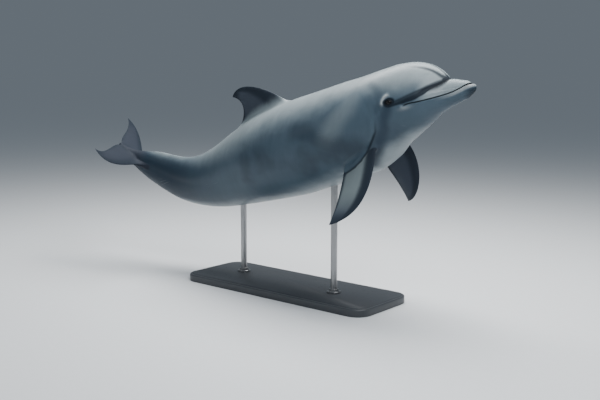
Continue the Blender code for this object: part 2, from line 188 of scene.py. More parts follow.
def section(station, angle):
    """Sideways and upward offsets of the skin, and how far the melon stands out past the beak."""
    s, a = np.broadcast_arrays(np.asarray(station, float), np.asarray(angle, float))
    cosine, sine = np.cos(a), np.sin(a)
    on_head = s < MELON_CROWN
    below = through(DEPTH, s)
    width = through(HALF_WIDTH, s)
    ahead = np.clip((MELON_CROWN - s) / (MELON_CROWN - MELON_FRONT), 0, 0.9999)
    melon = through(HEIGHT, s) * np.sqrt(1 - ahead ** 2)
    beak = np.where(on_head, through(BEAK_HEIGHT, s), melon)
    above = np.maximum(beak, melon)
    keel = through(KEEL, s)
    across = width * np.sign(cosine) * np.abs(cosine) ** keel
    rise = np.where(sine > 0, above, below) * sine
    radius = np.hypot(across, rise) + 1e-9
    co, si = across / radius, rise / radius
    r_beak = ellipse_radius(width, beak, co, si)
    r_melon = ellipse_radius(width * through(MELON_WIDTH, s), melon, co, si)
    crease = CREASE * np.clip(s / MELON_FRONT, 0, 1) * np.clip((MELON_CROWN - s) / CREASE_FADE, 0, 1)
    outer = (r_beak + r_melon + np.sqrt((r_beak - r_melon) ** 2 + crease ** 2) - crease) / 2
    upper = on_head & (sine > 0)
    factor = np.where(upper, outer / radius, 1.0)
    nose, upper_nose = (np.sqrt(1 - (1 - np.clip((s - tip) / NOSE, 0, 1)) ** 2)
                        for tip in (0, UPPER_TIP))
    mouth = np.where(on_head, through(MOUTH, s), 0.0)
    height = rise * factor - mouth
    proud = np.where(upper, r_melon - r_beak, 1.0)
    return across * factor * nose, mouth + height * np.where(height > 0, upper_nose, nose), proud


print("the melon's crown stands", round(float(section(MELON_CROWN, pi / 2)[1]) * LENGTH, 3), "m high")


# %% The bare skin
def bare_skin(station, angle):
    """Points of the surface before any fold or relief is added."""
    across, rise, _ = section(station, angle)
    s = np.broadcast_to(np.asarray(station, float), across.shape)
    point, forward, left, up = frame_at(s)
    below = np.clip((through(MOUTH, s) - rise) / CHIN_DEPTH - 1, -1, 1)
    full = 1 - np.where(below < 0, below ** 4, np.abs(below) ** 3)
    chin = (CHIN * full ** 2 - LIP_BACK) * np.clip(1 - s / CHIN_BACK, 0, 1) ** 2
    return point + LENGTH * (across[..., None] * left + rise[..., None] * up + chin[..., None] * forward)


def outward(station, angle, step=2e-4):
    """Unit normals of the bare surface."""
    s = np.clip(station, step, BODY_END - step)
    along = bare_skin(s - step, angle) - bare_skin(s + step, angle)
    around = bare_skin(s, angle + step) - bare_skin(s, angle - step)
    normal = np.cross(around, along)
    return normal / (np.linalg.norm(normal, axis=-1, keepdims=True) + 1e-12)


girth = np.linalg.norm(np.diff(bare_skin(0.42, np.linspace(0, 2 * pi, 200)), axis=0), axis=1).sum()
print("girth at the thickest:", round(girth, 2), "m")

# %% [markdown]
# ## Relief: lips, crease, folds and slits
#
# The bare surface has no detail smaller than a hand. The fine forms are a height field over it, in
# metres along the outward normal: the lips roll in to the line of the mouth, the brow swells round
# the eye, shallow wrinkles lie behind it, and the underside has its navel and slits. Each is a
# small bump or groove with a smooth falloff, so they can simply be added up.

# %% Bumps, ramps and paths
def bump(distance, size):
    """1 at no distance, and less and less over about twice the size."""
    return np.exp(-(distance / size) ** 2)


def ramp(x, start, end):
    """0 before start and 1 after end, smooth between. It also runs downwards."""
    t = np.clip((np.asarray(x, float) - start) / (end - start), 0, 1)
    return t * t * (3 - 2 * t)


def off_path(x, y, path):
    """Distance from a drawn path, a list of (x, y), and on which side of it: +1 left, -1 right."""
    path = np.array(path, float)
    best, side = np.full(np.shape(x), 1e9), np.zeros(np.shape(x))
    for (x0, y0), (x1, y1) in zip(path[:-1], path[1:]):
        along, up = x1 - x0, y1 - y0
        part = np.clip(((x - x0) * along + (y - y0) * up) / (along ** 2 + up ** 2), 0, 1)
        away = np.hypot(x - x0 - part * along, y - y0 - part * up)
        nearer = away < best
        best = np.where(nearer, away, best)
        side = np.where(nearer, np.sign(along * (y - y0) - up * (x - x0)), side)
    return best, side


print("a bump of size 1 has", round(float(bump(2, 1)), 3), "left at distance 2")

# %% Relief of the head
EYE_STATION = 0.143
EYE_ANGLES = {"right": pi - 0.05, "left": 0.05}
EYE_RISE = 0.008                  # the eye's centre lies this far above the midline
BROW = [(0.030, 0.004), (0.024, 0.018), (0.014, 0.031), (0.000, 0.036), (-0.010, 0.034)]
WRINKLES = (0.052, 0.074, 0.100, 0.132)    # how far behind the eye
BLOWHOLE_STATION = 0.137
BLOWHOLE_LEFT = 0.004             # it lies a little left of the middle


def mouth_relief(s, lip, proud):
    """The lips roll in to the line of the mouth, which ends in a dimple with folds round it."""
    open_mouth = ramp(s, MOUTH_CORNER + 0.001, MOUTH_CORNER - 0.006)
    height = open_mouth * (-0.0065 * bump(lip, 0.0016) + 0.0018 * bump(lip + 0.008, 0.006)
                           + 0.0010 * bump(lip - 0.006, 0.004))
    corner = (s - MOUTH_CORNER) * LENGTH
    height += -0.0035 * bump(corner, 0.007) * bump(lip, 0.006)
    height += 0.0045 * bump((corner + 0.004) * 0.5, 0.009) * bump(lip + 0.015, 0.008)
    height += 0.0030 * bump(corner - 0.014, 0.007) * bump(lip + 0.008, 0.014)
    # The crease between beak and melon is cut a little deeper than the bare forms leave it.
    in_crease = ramp(s, 0.115, 0.085) * ramp(s, 0.020, 0.036) * ramp(lip, 0.026, 0.040)
    return height - 0.0022 * bump(proud * LENGTH, 0.0035) * in_crease


def brow(eye_x, eye_z):
    """A crescent over and behind the eye. eye_x grows backward and eye_z upward from its centre."""
    return bump(off_path(eye_x, eye_z, BROW)[0], 0.0075) * ramp(eye_x, -0.018, 0.006)


def eye_relief(s, side, z):
    """A swelling round the eye with the brow on it, a hollow cheek in front and wrinkles behind."""
    eye_x, eye_z = (s - EYE_STATION) * LENGTH, z - EYE_RISE
    height = 0.004 * bump(np.hypot(eye_x, eye_z * 1.1), 0.034) + 0.0065 * brow(eye_x, eye_z)
    height += 0.004 * bump(np.hypot((eye_x - 0.040) * 0.8, eye_z - 0.004), 0.018)
    height -= 0.0035 * bump(np.hypot((eye_x + 0.045) / 1.4, eye_z + 0.010), 0.018)
    bend = 2 * (eye_z + 0.02) ** 2
    reach = ramp(eye_z, -0.11, -0.05) * ramp(eye_z, 0.085, 0.035)
    for index, place in enumerate(WRINKLES):
        height -= (0.0011 - 0.0002 * index) * reach * bump(eye_x - place - bend, 0.0045)
    return height * ramp(side, 0.06, 0.10)


def behind_slit(hole_x, hole_y):
    """How far a place lies behind the blowhole's slit, a crescent."""
    return hole_x - 9.0 * hole_y ** 2 + 0.002


def blowhole_relief(s, y, z):
    """A raised rim round the slit."""
    hole_x, hole_y = (s - BLOWHOLE_STATION) * LENGTH, y - BLOWHOLE_LEFT
    slit = bump(behind_slit(hole_x, hole_y), 0.0016) * ramp(np.abs(hole_y), 0.021, 0.015)
    rim = 0.0026 * bump(np.hypot(hole_x, hole_y * 0.8), 0.020)
    return ramp(z, 0.10, 0.14) * (rim - 0.010 * slit)


print("the brow's path has", len(BROW), "points, and", len(WRINKLES), "wrinkles lie behind the eye")

# %% Relief of the belly and tail, and the finished skin
NAVEL_STATION, ANUS_STATION = 0.47, 0.718


def belly_relief(s, a, y):
    """The navel and the slits of the underside."""
    under = ramp(a, -0.9, -1.25) + ramp(a, 4.04, 4.39)
    long_slit = ramp(s, 0.655, 0.662) * ramp(s, 0.700, 0.692)
    short_slit = ramp(s, 0.672, 0.676) * ramp(s, 0.692, 0.688)
    height = -0.006 * bump(np.hypot((s - NAVEL_STATION) * LENGTH, y), 0.007)
    height -= 0.006 * long_slit * bump(y, 0.0035)
    height -= 0.004 * short_slit * bump(np.abs(y) - 0.022, 0.003)
    height -= 0.004 * bump(np.hypot((s - ANUS_STATION) * LENGTH * 0.5, y), 0.005)
    return under * height


def tail_relief(s, z):
    """The flank's long muscle stands out along the tail stock, above and below its middle."""
    muscle = ramp(s, 0.62, 0.74) * ramp(s, 0.93, 0.84)
    return muscle * 0.0016 * (bump(z - 0.045, 0.03) + bump(z + 0.045, 0.03) - 0.8 * bump(z, 0.018))


def relief(s, a, across, rise, proud):
    """Height of the fine forms over the bare surface. across and rise are in fractions of LENGTH."""
    y, z = across * LENGTH, rise * LENGTH
    lip = z - through(MOUTH, s) * LENGTH
    head = mouth_relief(s, lip, proud) + eye_relief(s, np.abs(y), z) + blowhole_relief(s, y, z)
    return head + belly_relief(s, a, y) + tail_relief(s, z)


def skin_point(station, angle):
    """Points of the finished skin."""
    s, a = np.broadcast_arrays(np.asarray(station, float), np.asarray(angle, float))
    across, rise, proud = section(s, a)
    height = relief(s, a, across, rise, proud)
    return bare_skin(s, a) + height[..., None] * outward(s, a)


navel = skin_point(NAVEL_STATION, -pi / 2) - bare_skin(NAVEL_STATION, -pi / 2)
print("the navel is", round(float(np.linalg.norm(navel)) * 1000, 1), "mm deep")

# %% [markdown]
# ## A grid that follows the animal
#
# A loft needs rows along the body and columns round it. The rows lie close together on the head,
# where the detail is, and further apart on the trunk. The columns start and meet on the line of
# the mouth, so the groove of the lips runs along an edge of the mesh, and they crowd together next
# to it and on top of the head.

# %% The grid
COLUMNS = 168
QUARTER = COLUMNS // 4


def make_rows():
    """Stations of the rows, spaced by a target distance in metres that changes along the body."""
    spacing = [(0.014, 0.003), (0.125, 0.0030), (0.132, 0.0014), (0.143, 0.0016),
               (0.150, 0.0034), (0.20, 0.0095), (0.30, 0.0125), (0.65, 0.0125), (0.90, 0.0085),
               (0.965, 0.0040), (0.992, 0.0020)]
    rows = list(NOSE * (1 - np.cos(np.linspace(0.10, pi / 2, 14))))
    while rows[-1] < BODY_END - 0.0006:
        rows.append(rows[-1] + float(through(spacing, rows[-1])) / LENGTH)
    rows[-1] = BODY_END
    return np.array(rows)


def make_columns(s, fine=1441):
    """Angles of the columns of one row: even along the section, but denser at the lips and crown."""
    a = np.linspace(-pi / 2, 3 * pi / 2, fine)
    across, rise, _ = section(s, a)
    middle = through(MOUTH, s) * ramp(s, 0.22, 0.13)
    polar = np.unwrap(np.arctan2(rise - middle, across))
    polar += -pi / 2 - polar[0]
    step = np.hypot(np.diff(across), np.diff(rise)) * LENGTH + 1e-7
    length = np.concatenate([[0], np.cumsum(step)])
    marks = np.interp([-pi / 2, 0, pi / 2, pi, 3 * pi / 2], polar, length)
    lips = 4.5 * ramp(s, 0.19, 0.125)
    crown = 2.5 * ramp(s, 0.11, 0.128) * ramp(s, 0.18, 0.15)
    centre = (length[1:] + length[:-1]) / 2
    near_lips = np.minimum(np.abs(centre - marks[1]), np.abs(centre - marks[3]))
    weight = step * (1 + lips * bump(near_lips, 0.010) + crown * bump(centre - marks[2], 0.022))
    total = np.concatenate([[0], np.cumsum(weight)])
    columns = []
    for start, end in zip(marks[:-1], marks[1:]):
        low, high = np.interp([start, end], length, total)
        columns.append(np.interp(low + (high - low) * np.arange(QUARTER) / QUARTER, total, a))
    return np.concatenate(columns)


ROWS = make_rows()
ANGLES = np.stack([make_columns(s) for s in ROWS])
print(len(ROWS), "rows of", COLUMNS, "columns")


# %% Find a place on the body
def locate(points):
    """Station and angle of points near the body, and their distance from the midline over the skin's."""
    points = np.asarray(points, float)
    flat = points.reshape(-1, 3)
    apart = ((flat[:, None] - FRAMES[0][None, ::8]) ** 2).sum(2)
    s = STATION[::8][np.argmin(apart, axis=1)]
    for _ in range(8):
        point, forward, left, up = frame_at(s)
        s = np.clip(s - 0.8 * ((flat - point) * forward).sum(1) / LENGTH, 0, BODY_END)
    point, _, left, up = frame_at(s)
    across = ((flat - point) * left).sum(1) / LENGTH
    rise = ((flat - point) * up).sum(1) / LENGTH
    a = np.linspace(-pi / 2, 3 * pi / 2, 241)
    skin_across, skin_rise, _ = section(s[:, None], a[None])
    polar = np.unwrap(np.arctan2(skin_rise, skin_across), axis=1)
    polar += (-pi / 2 - polar[:, :1])
    own = np.arctan2(rise, across)
    own = np.where(own < -pi / 2, own + 2 * pi, own)
    angle = np.array([np.interp(o, row, a) for o, row in zip(own, polar)])
    skin_across, skin_rise, _ = section(s, angle)
    ratio = np.hypot(across, rise) / np.hypot(skin_across, skin_rise)
    return [part.reshape(points.shape[:-1]) for part in (s, angle, ratio)]


found = locate(bare_skin(0.3, 1.0))
print("a point at station 0.3 and angle 1 is found at", *(round(float(part), 3) for part in found[:2]))

# %% [markdown]
# ## One skin, grown loop by loop
#
# The solids meet the fins in sharp steps, but on the animal the hide runs from the back up the fin
# without a line. So each fin is not a separate piece pushed into the body. A rectangle of the
# body's grid is left out, and its border becomes the first of many loops, which walk over the body
# to the fin's foot, turn up through a fillet, follow the fin to its tip and close there. The eyes
# are cut in the same way, with loops that turn in over the eyeball as lids.

# %% The skin's loops
class Skin:
    """Points and faces of the skin, and for each point what it lies on."""

    def __init__(self):
        self.points, self.faces, self.notes = [], [], []
        self.count = 0

    def add(self, points, station, angle, kind=0, reach=0.0, share=0.0):
        """Add points. A fin's points also note its kind, the reach from foot to tip, and the share
        of the way from leading to trailing edge. The result is their numbers."""
        points = np.asarray(points, float).reshape(-1, 3)
        notes = [np.broadcast_to(note, len(points)) for note in (station, angle, kind, reach, share)]
        self.points.append(points)
        self.notes.append(np.stack(notes, 1))
        self.count += len(points)
        return np.arange(self.count - len(points), self.count)

    def bridge(self, outer, inner):
        after, inside = np.roll(outer, -1), np.roll(inner, -1)
        self.faces += np.stack([outer, inner, inside, after], 1).tolist()

    def grow(self, loop, points, *notes):
        """Add a loop of points inside another and join the two. The result is its numbers."""
        inner = self.add(points, *notes)
        self.bridge(loop, inner)
        return inner

    def close(self, loop, tip):
        self.faces += [[int(one), int(tip), int(two)] for one, two in zip(loop, np.roll(loop, -1))]


skin = Skin()
GRID_S = np.repeat(ROWS[:, None], COLUMNS, 1)
grid_points = skin_point(GRID_S, ANGLES)
grid = skin.add(grid_points, GRID_S.ravel(), ANGLES.ravel()).reshape(GRID_S.shape)
left_out = np.zeros((len(ROWS), COLUMNS), bool)
print(skin.count, "points on the body")


# %% The border of a patch
def open_patch(start, end, low, high):
    """Leave a rectangle out of the grid and return its border, clockwise from the front's middle."""
    first, last = int(np.searchsorted(ROWS, start)), int(np.searchsorted(ROWS, end))
    left_out[first:last, low:high] = True
    column = (low + high) // 2
    border = ([(first, c) for c in range(column, high)] + [(r, high) for r in range(first, last)]
              + [(last, c) for c in range(high, low, -1)] + [(r, low) for r in range(last, first, -1)]
              + [(first, c) for c in range(low, column)])
    rows, columns = np.array(border).T
    return grid[rows, columns], ROWS[rows], ANGLES[rows, columns]


# %% The shape of a fin
FIN_EDGE = 0.0008                 # thickness of the trailing edge
FULLEST = 0.385                   # the greatest value of sqrt(x) * (1 - x), the form of the section


def bezier(controls, t):
    """Points along a cubic curve of four controls."""
    p = np.asarray(controls, float)
    t = np.asarray(t, float)[..., None]
    return ((1 - t) ** 3 * p[0] + 3 * t * (1 - t) ** 2 * p[1] + 3 * t ** 2 * (1 - t) * p[2] + t ** 3 * p[3])


class Fin:
    """A fin between a leading and a trailing edge, drawn in the midline's frame at a station.

    The thickness is a fraction of the chord, and side is 1 on the left and -1 on the right.
    """

    def __init__(self, leading, trailing, thickness, station, side=1):
        self.leading, self.trailing, self.thickness = leading, trailing, thickness
        self.frame, self.side = frame_at(station), side

    def middle(self, share, t):
        """Points halfway between the faces, and the chord there."""
        front, rear = bezier(self.leading, t), bezier(self.trailing, t)
        return front + share[..., None] * (rear - front), rear - front

    def at(self, share, face, t):
        """Points a share of the way to the trailing edge, on face +1 or -1, t of the way out."""
        share, face, t = np.broadcast_arrays(share, face, np.asarray(t, float))
        middle, chord = self.middle(share, t)
        halfway = np.full(t.shape, 0.5)
        climb = self.middle(halfway, t + 1e-3)[0] - self.middle(halfway, t - 1e-3)[0]
        normal = np.cross(chord, climb)
        normal /= np.linalg.norm(normal, axis=-1, keepdims=True) + 1e-12
        size = np.linalg.norm(chord, axis=-1)
        half = np.sqrt(share) * (1 - share) / FULLEST * self.thickness / 2 * size
        half = half + share * FIN_EDGE / 2 * np.sqrt(1 - share ** 24)
        local = middle + (face * half)[..., None] * normal
        point, forward, left, up = self.frame
        return point + LENGTH * (local[..., :1] * forward + self.side * local[..., 1:2] * left
                                 + local[..., 2:] * up)


# %% Growing a fin out of the body
FOOT_MOST = 0.62                  # a foot takes at most this part of the way to the patch's border
LIFT_MOST = 0.4                   # and a fillet this part of the way to the tip
CROWDING = 1.35                   # above 1, the loops lie closer together towards the tip
LAST_LOOP, TIP = 0.996, 0.9995    # how far out the last loop and the closing point lie


def find_root(fin, share, face):
    """How far out along a fin it leaves the skin, for each point round it."""
    trial = np.linspace(0, 0.4, 41)
    _, _, ratio = locate(fin.at(share[:, None], face[:, None], trial[None]))
    first = np.maximum(np.argmax(ratio > 1, axis=1), 1)
    each = np.arange(len(share))
    low, high = ratio[each, first - 1], ratio[each, first]
    return trial[first - 1] + (trial[1] - trial[0]) * (1 - low) / (high - low)


def grow_fin(fin, kind, patch, foot, lift, body_loops=6, fillet_loops=8, spans=30):
    """Loops from a patch's border over the body, up a fillet and along the fin to its tip.

    foot is how far the fillet reaches over the body, and lift how far it climbs up the fin, each as
    a length at the leading edge, along the faces and at the trailing edge.
    """
    numbers, border_s, border_a = patch
    count = len(numbers)
    turn = np.arange(count) / count
    # A loop runs from the leading edge along one face to the trailing edge, and back on the other.
    share = (1 - np.cos(2 * pi * turn)) / 2
    _, tilt, _ = locate(fin.at(0.5, np.array([1.0, -1.0]), 0.15))
    face = np.where(turn < 0.5, 1.0, -1.0) * (1 if tilt[0] > tilt[1] else -1)
    root = find_root(fin, share, face)
    root_s, root_a, _ = locate(fin.at(share, face, root))
    foot, lift = (through([(0, part[0]), (0.25, part[1]), (0.75, part[1]), (1, part[2])], share)
                  for part in (foot, lift))
    corner = skin_point(root_s, root_a)
    gap = np.linalg.norm(skin_point(border_s, border_a) - corner, axis=1)
    part = np.minimum(foot / gap, FOOT_MOST)
    speed = np.linalg.norm(fin.at(share, face, root + 0.01) - fin.at(share, face, root), axis=1) / 0.01
    start = root + np.minimum(lift / speed, LIFT_MOST)

    def on_body(f):
        """Station and angle a part of the way from the root to the border."""
        return root_s + (border_s - root_s) * f, root_a + (border_a - root_a) * f

    loop = numbers
    for q in range(1, body_loops + 1):
        s, a = on_body(1 - (1 - part) * q / body_loops)
        loop = skin.grow(loop, skin_point(s, a), s, a)
    toe, top = skin_point(*on_body(part)), fin.at(share, face, start)
    for q in range(1, fillet_loops + 1):
        w = q / fillet_loops
        points = (1 - w) ** 2 * toe + 2 * w * (1 - w) * corner + w ** 2 * top
        loop = skin.grow(loop, points, root_s, root_a, kind, w * w * (start - root), share)
    for q in range(1, spans + 1):
        t = start + (1 - (1 - q / spans) ** CROWDING) * (LAST_LOOP - start)
        loop = skin.grow(loop, fin.at(share, face, t), root_s, root_a, kind, t - root, share)
    end = fin.at(np.array([0.5]), 0.0, TIP)
    skin.close(loop, skin.add(end, root_s.mean(), root_a.mean(), kind, 1 - root.mean(), 0.5)[0])
    print("a fin of", count, "points round, its foot from station", round(float(root_s.min()), 3),
          "to", round(float(root_s.max()), 3))


# %% Dorsal fin, flippers and flukes
BACK = 2 * QUARTER                # the column of the grid along the back
FLIPPER_COLUMNS = 64              # from there to the middle of a flipper's patch
DORSAL, FLIPPER, FLUKE = 1, 2, 3
DORSAL_STATION, FLIPPER_STATION, FLUKE_STATION = 0.50, 0.237, 0.97
# Patches: first and last station, and half their width in columns.
DORSAL_PATCH, FLIPPER_PATCH, FLUKE_PATCH = (0.390, 0.640, 14), (0.186, 0.288, 12), (0.868, 0.9868, 24)
# Leading and trailing edges, each a curve of four controls: forward, outward and up.
DORSAL_EDGES = (
    [(0.096, 0, 0.088), (0.046, 0, 0.147), (-0.028, 0, 0.188), (-0.061, 0, 0.157)],
    [(-0.088, 0, 0.084), (-0.052, 0, 0.094), (-0.018, 0, 0.136), (-0.061, 0, 0.157)])
FLIPPER_EDGES = (
    [(0.035, 0.036, -0.042), (0.048, 0.095, -0.102), (0.001, 0.092, -0.183), (-0.064, 0.141, -0.175)],
    [(-0.031, 0.038, -0.043), (-0.047, 0.079, -0.097), (-0.042, 0.100, -0.129), (-0.064, 0.141, -0.175)])
FLUKE_EDGES = (
    [(0.056, 0, 0), (0.029, 0.058, -0.006), (0.003, 0.144, -0.003), (-0.048, 0.126, 0.010)],
    [(-0.011, 0, 0), (-0.036, 0.024, 0.004), (-0.016, 0.092, -0.004), (-0.048, 0.126, 0.010)])


def patch_at(column, start, end, half):
    return open_patch(start, end, column - half, column + half)


grow_fin(Fin(*DORSAL_EDGES, 0.10, DORSAL_STATION), DORSAL, patch_at(BACK, *DORSAL_PATCH),
         foot=(0.055, 0.032, 0.060), lift=(0.050, 0.030, 0.050))
for side in (1, -1):
    grow_fin(Fin(*FLIPPER_EDGES, 0.15, FLIPPER_STATION, side), FLIPPER,
             patch_at(BACK - side * FLIPPER_COLUMNS, *FLIPPER_PATCH),
             foot=(0.024, 0.024, 0.024), lift=(0.026, 0.024, 0.026))
    grow_fin(Fin(*FLUKE_EDGES, 0.10, FLUKE_STATION, side), FLUKE,
             patch_at(BACK - side * QUARTER, *FLUKE_PATCH),
             foot=(0.085, 0.024, 0.006), lift=(0.105, 0.060, 0.012), spans=36)
print(skin.count, "points with the fins")

# %% [markdown]
# ## Eyes behind lids
#
# A bottlenose dolphin's eye is a ball with only its front showing, between two thick lids without
# lashes. If a dark disc were painted on, it would look dead from close by. So a rectangle round
# each eye is grown inward as loops too: they climb over a shell a little larger than the eyeball,
# fold once where the lid creases, round over the margin and then line the socket behind the ball.

# %% Lids
EYE_RADIUS = 0.020
EYE_BULGE = 0.006                 # how far the eyeball stands out of the bare skin
EYE_OPENING = (0.0145, 0.0095)    # half length and half height of the opening
LID, LID_BLEND = 0.0022, 0.004    # thickness of a lid, and how softly it leaves the face
LID_REACH = 2.05                  # the lids end this many times as far out as the opening
EYE_TILT = radians(-9)            # the front corner of the opening lies lower


class EyeFrame:
    """The centre of an eye and its directions: forward, upward and outward."""

    def __init__(self, side):
        angle = EYE_ANGLES[side]
        self.out = outward(EYE_STATION, angle)
        self.centre = bare_skin(EYE_STATION, angle) - self.out * (EYE_RADIUS - EYE_BULGE)
        _, forward, left, up = frame_at(EYE_STATION)
        forward = forward - self.out * (forward @ self.out)
        forward /= np.linalg.norm(forward)
        upward = np.cross(self.out, forward)
        upward *= np.sign(upward @ up)
        self.forward = forward * cos(EYE_TILT) + upward * sin(EYE_TILT)
        self.upward = upward * cos(EYE_TILT) - forward * sin(EYE_TILT)

    def local(self, points):
        return np.stack([(points - self.centre) @ d for d in (self.forward, self.upward, self.out)], -1)

    def world(self, local):
        return self.centre + local @ np.stack([self.forward, self.upward, self.out])

    def on_skin(self, flat):
        """Station, angle and local point of the skin in front of flat places round the eye."""
        height = np.full(len(flat), EYE_RADIUS - EYE_BULGE)
        for _ in range(4):
            s, a, _ = locate(self.world(np.column_stack([flat, height])))
            skin_here = self.local(skin_point(s, a))
            height = skin_here[:, 2]
        return s, a, skin_here


def opening(psi):
    """The opening between the lids, an almond."""
    return np.stack([EYE_OPENING[0] * np.cos(psi),
                     EYE_OPENING[1] * np.sign(np.sin(psi)) * np.abs(np.sin(psi)) ** 1.12], -1)


def drape(flat, base, rho):
    """Lift the skin over the shell of a lid. rho is 1 at the opening and grows outwards."""
    away = np.minimum((flat ** 2).sum(1), (EYE_RADIUS + LID) ** 2 * 0.98)
    shell = np.sqrt((EYE_RADIUS + LID) ** 2 - away)
    blend = np.sqrt((base[:, 2] - shell) ** 2 + LID_BLEND ** 2) - LID_BLEND
    height = (base[:, 2] + shell + blend) / 2
    upper = ramp(flat[:, 1], -0.004, 0.004)
    height += -0.0014 * upper * bump(rho - 1.50, 0.07) - 0.0010 * (1 - upper) * bump(rho - 1.42, 0.06)
    height += 0.0005 * bump(rho - 1.16, 0.14)
    near = ramp(rho, LID_REACH, 1.6)
    return np.column_stack([flat, base[:, 2] + (height - base[:, 2]) * near])


print("the lids open", 2000 * EYE_OPENING[0], "by", 2000 * EYE_OPENING[1], "mm")

# %% Growing the lids inward
LID_KIND = 4
EYE_PATCH_REACH = 0.0175          # of the patch forward and backward, in stations
EYE_PATCH_HIGH, EYE_PATCH_MIDDLE = 0.041, 0.012
MARGIN = ((0.0004, 0.0003), (0.0006, 0.0009), (0.0005, 0.0016))    # inward and back, from the rim
MARGIN_GAP, SOCKET_GAP = 0.0005, 0.0006    # from the eyeball to the margin and to the socket
SOCKET_LOOPS = 7
LID_LOOPS = (1.95, 1.84, 1.74, 1.65, 1.58, 1.53, 1.49, 1.45, 1.40, 1.33, 1.26, 1.19, 1.13, 1.08, 1.04,
             1.015, 1.0)


def eye_patch(side):
    """The rectangle of the grid round an eye."""
    row = np.searchsorted(ROWS, EYE_STATION)
    across, rise, _ = section(ROWS[row], ANGLES[row])
    sign = 1 if side == "left" else -1
    near = np.abs(rise * LENGTH - EYE_PATCH_MIDDLE) < EYE_PATCH_HIGH
    inside = np.nonzero((across * sign > 0) & near)[0]
    return open_patch(EYE_STATION - EYE_PATCH_REACH, EYE_STATION + EYE_PATCH_REACH, inside[0], inside[-1])


def grow_eye(side):
    """Loops from the border of an eye's patch to the lids, over their margin and round the socket."""
    eye = EyeFrame(side)
    numbers, border_s, border_a = eye_patch(side)
    border = eye.local(skin_point(border_s, border_a))
    count = len(numbers)
    start = np.unwrap(np.arctan2(border[:, 1], border[:, 0]))
    turn = np.sign(start[-1] - start[0]) * 2 * pi * np.arange(count) / count
    even = start.mean() + turn - turn.mean()
    inner_s, inner_a, _ = eye.on_skin(opening(even) * LID_REACH)
    loop, steps = numbers, 6
    for q in range(1, steps + 1):
        s, a = (one + (two - one) * q / steps for one, two in ((border_s, inner_s), (border_a, inner_a)))
        loop = skin.grow(loop, skin_point(s, a), s, a)
    for rho in LID_LOOPS:
        flat = opening(even) * rho
        s, a, base = eye.on_skin(flat)
        points = drape(flat, base, np.full(count, rho))
        loop = skin.grow(loop, eye.world(points), s, a, LID_KIND, rho)
    margin, away = points, opening(even) / np.linalg.norm(opening(even), axis=1, keepdims=True)
    for inset, drop in MARGIN:
        points = margin.copy()
        points[:, :2] -= away * inset
        floor = np.sqrt((EYE_RADIUS + MARGIN_GAP) ** 2 - (points[:, :2] ** 2).sum(1))
        points[:, 2] = np.maximum(points[:, 2] - drop, floor)
        loop = skin.grow(loop, eye.world(points), s, a, LID_KIND, 0.9)
    down = np.arccos(points[:, 2:] / np.linalg.norm(points, axis=1, keepdims=True))
    for q in range(1, SOCKET_LOOPS):
        theta = down + (pi - down) * q / SOCKET_LOOPS
        ring = (EYE_RADIUS + SOCKET_GAP) * np.column_stack([away * np.sin(theta), np.cos(theta)])
        loop = skin.grow(loop, eye.world(ring), s, a, LID_KIND, 0.5)
    back = eye.world(np.array([[0, 0, -(EYE_RADIUS + SOCKET_GAP)]]))
    skin.close(loop, skin.add(back, EYE_STATION, EYE_ANGLES[side], LID_KIND, 0.5)[0])
    print(side, "eye:", count, "points round")
    return eye


EYES = {side: grow_eye(side) for side in ("right", "left")}
print("eyes at", *(np.round(eye.centre, 3) for eye in EYES.values()))


# %% Close the skin
END_BULGE = 0.003                 # how far the end between the flukes is domed


def close_skin():
    """Faces of the grid that no patch took, and the ends of the beak and the tail."""
    rows, columns = np.nonzero(~left_out[:-1])
    beside = (columns + 1) % COLUMNS
    skin.faces += np.stack([grid[rows, columns], grid[rows + 1, columns], grid[rows + 1, beside],
                            grid[rows, beside]], 1).tolist()
    tip = skin.add(bare_skin(np.array([0.0]), 0.0), 0.0, 0.0)[0]
    skin.close(grid[0][::-1], tip)
    middle = bare_skin(BODY_END, ANGLES[-1]).mean(0)
    end = skin.add(middle - frame_at(BODY_END)[1] * END_BULGE, BODY_END, 0.0)[0]
    skin.close(grid[-1], end)


close_skin()
points, notes = np.concatenate(skin.points), np.concatenate(skin.notes)
print(len(points), "points and", len(skin.faces), "faces")

# %% Make the skin object
def new_piece(name, points, faces, material=None, smooth=True):
    mesh = bpy.data.meshes.new(name)
    mesh.from_pydata(np.asarray(points).tolist(), [], [list(face) for face in faces])
    if smooth:
        mesh.shade_smooth()
    piece = bpy.data.objects.new(name, mesh)
    bpy.context.scene.collection.objects.link(piece)
    if material is not None:
        mesh.materials.append(material)
    return piece


used = np.unique(np.concatenate([np.asarray(face) for face in skin.faces]))
renumber = np.full(len(points), -1)
renumber[used] = np.arange(len(used))
hide = new_piece("dolphin_skin", points[used], [renumber[face] for face in skin.faces])
S, A, KIND, REACH, SHARE = notes[used].T
print("skin:", len(hide.data.vertices), "points,", sum(len(f) - 2 for f in skin.faces), "triangles")


# %% Which way faces point
def face_outwards(piece):
    """Turn faces of a closed piece outwards. What it encloses is then a positive volume."""
    mesh = bmesh.new()
    mesh.from_mesh(piece.data)
    bmesh.ops.recalc_face_normals(mesh, faces=mesh.faces)
    litres = mesh.calc_volume(signed=True) * 1000
    mesh.to_mesh(piece.data)
    mesh.free()
    print(piece.name, "encloses", round(litres, 3), "litres")


face_outwards(hide)

# %% [markdown]
# The armpit's fold crosses from the flank onto the flipper, over the seam between two patches, so a
# height field in station and angle cannot hold it. It is drawn as a path seen from the side instead,
# and the finished points move along their own normals: inward on the path, outward just above it.

# %% The armpit's fold
ARMPIT = [(-0.076, -0.089), (-0.038, -0.090), (-0.023, -0.088), (-0.010, -0.085), (0.006, -0.078),
          (0.022, -0.065), (0.039, -0.052), (0.054, -0.039), (0.066, -0.016)]


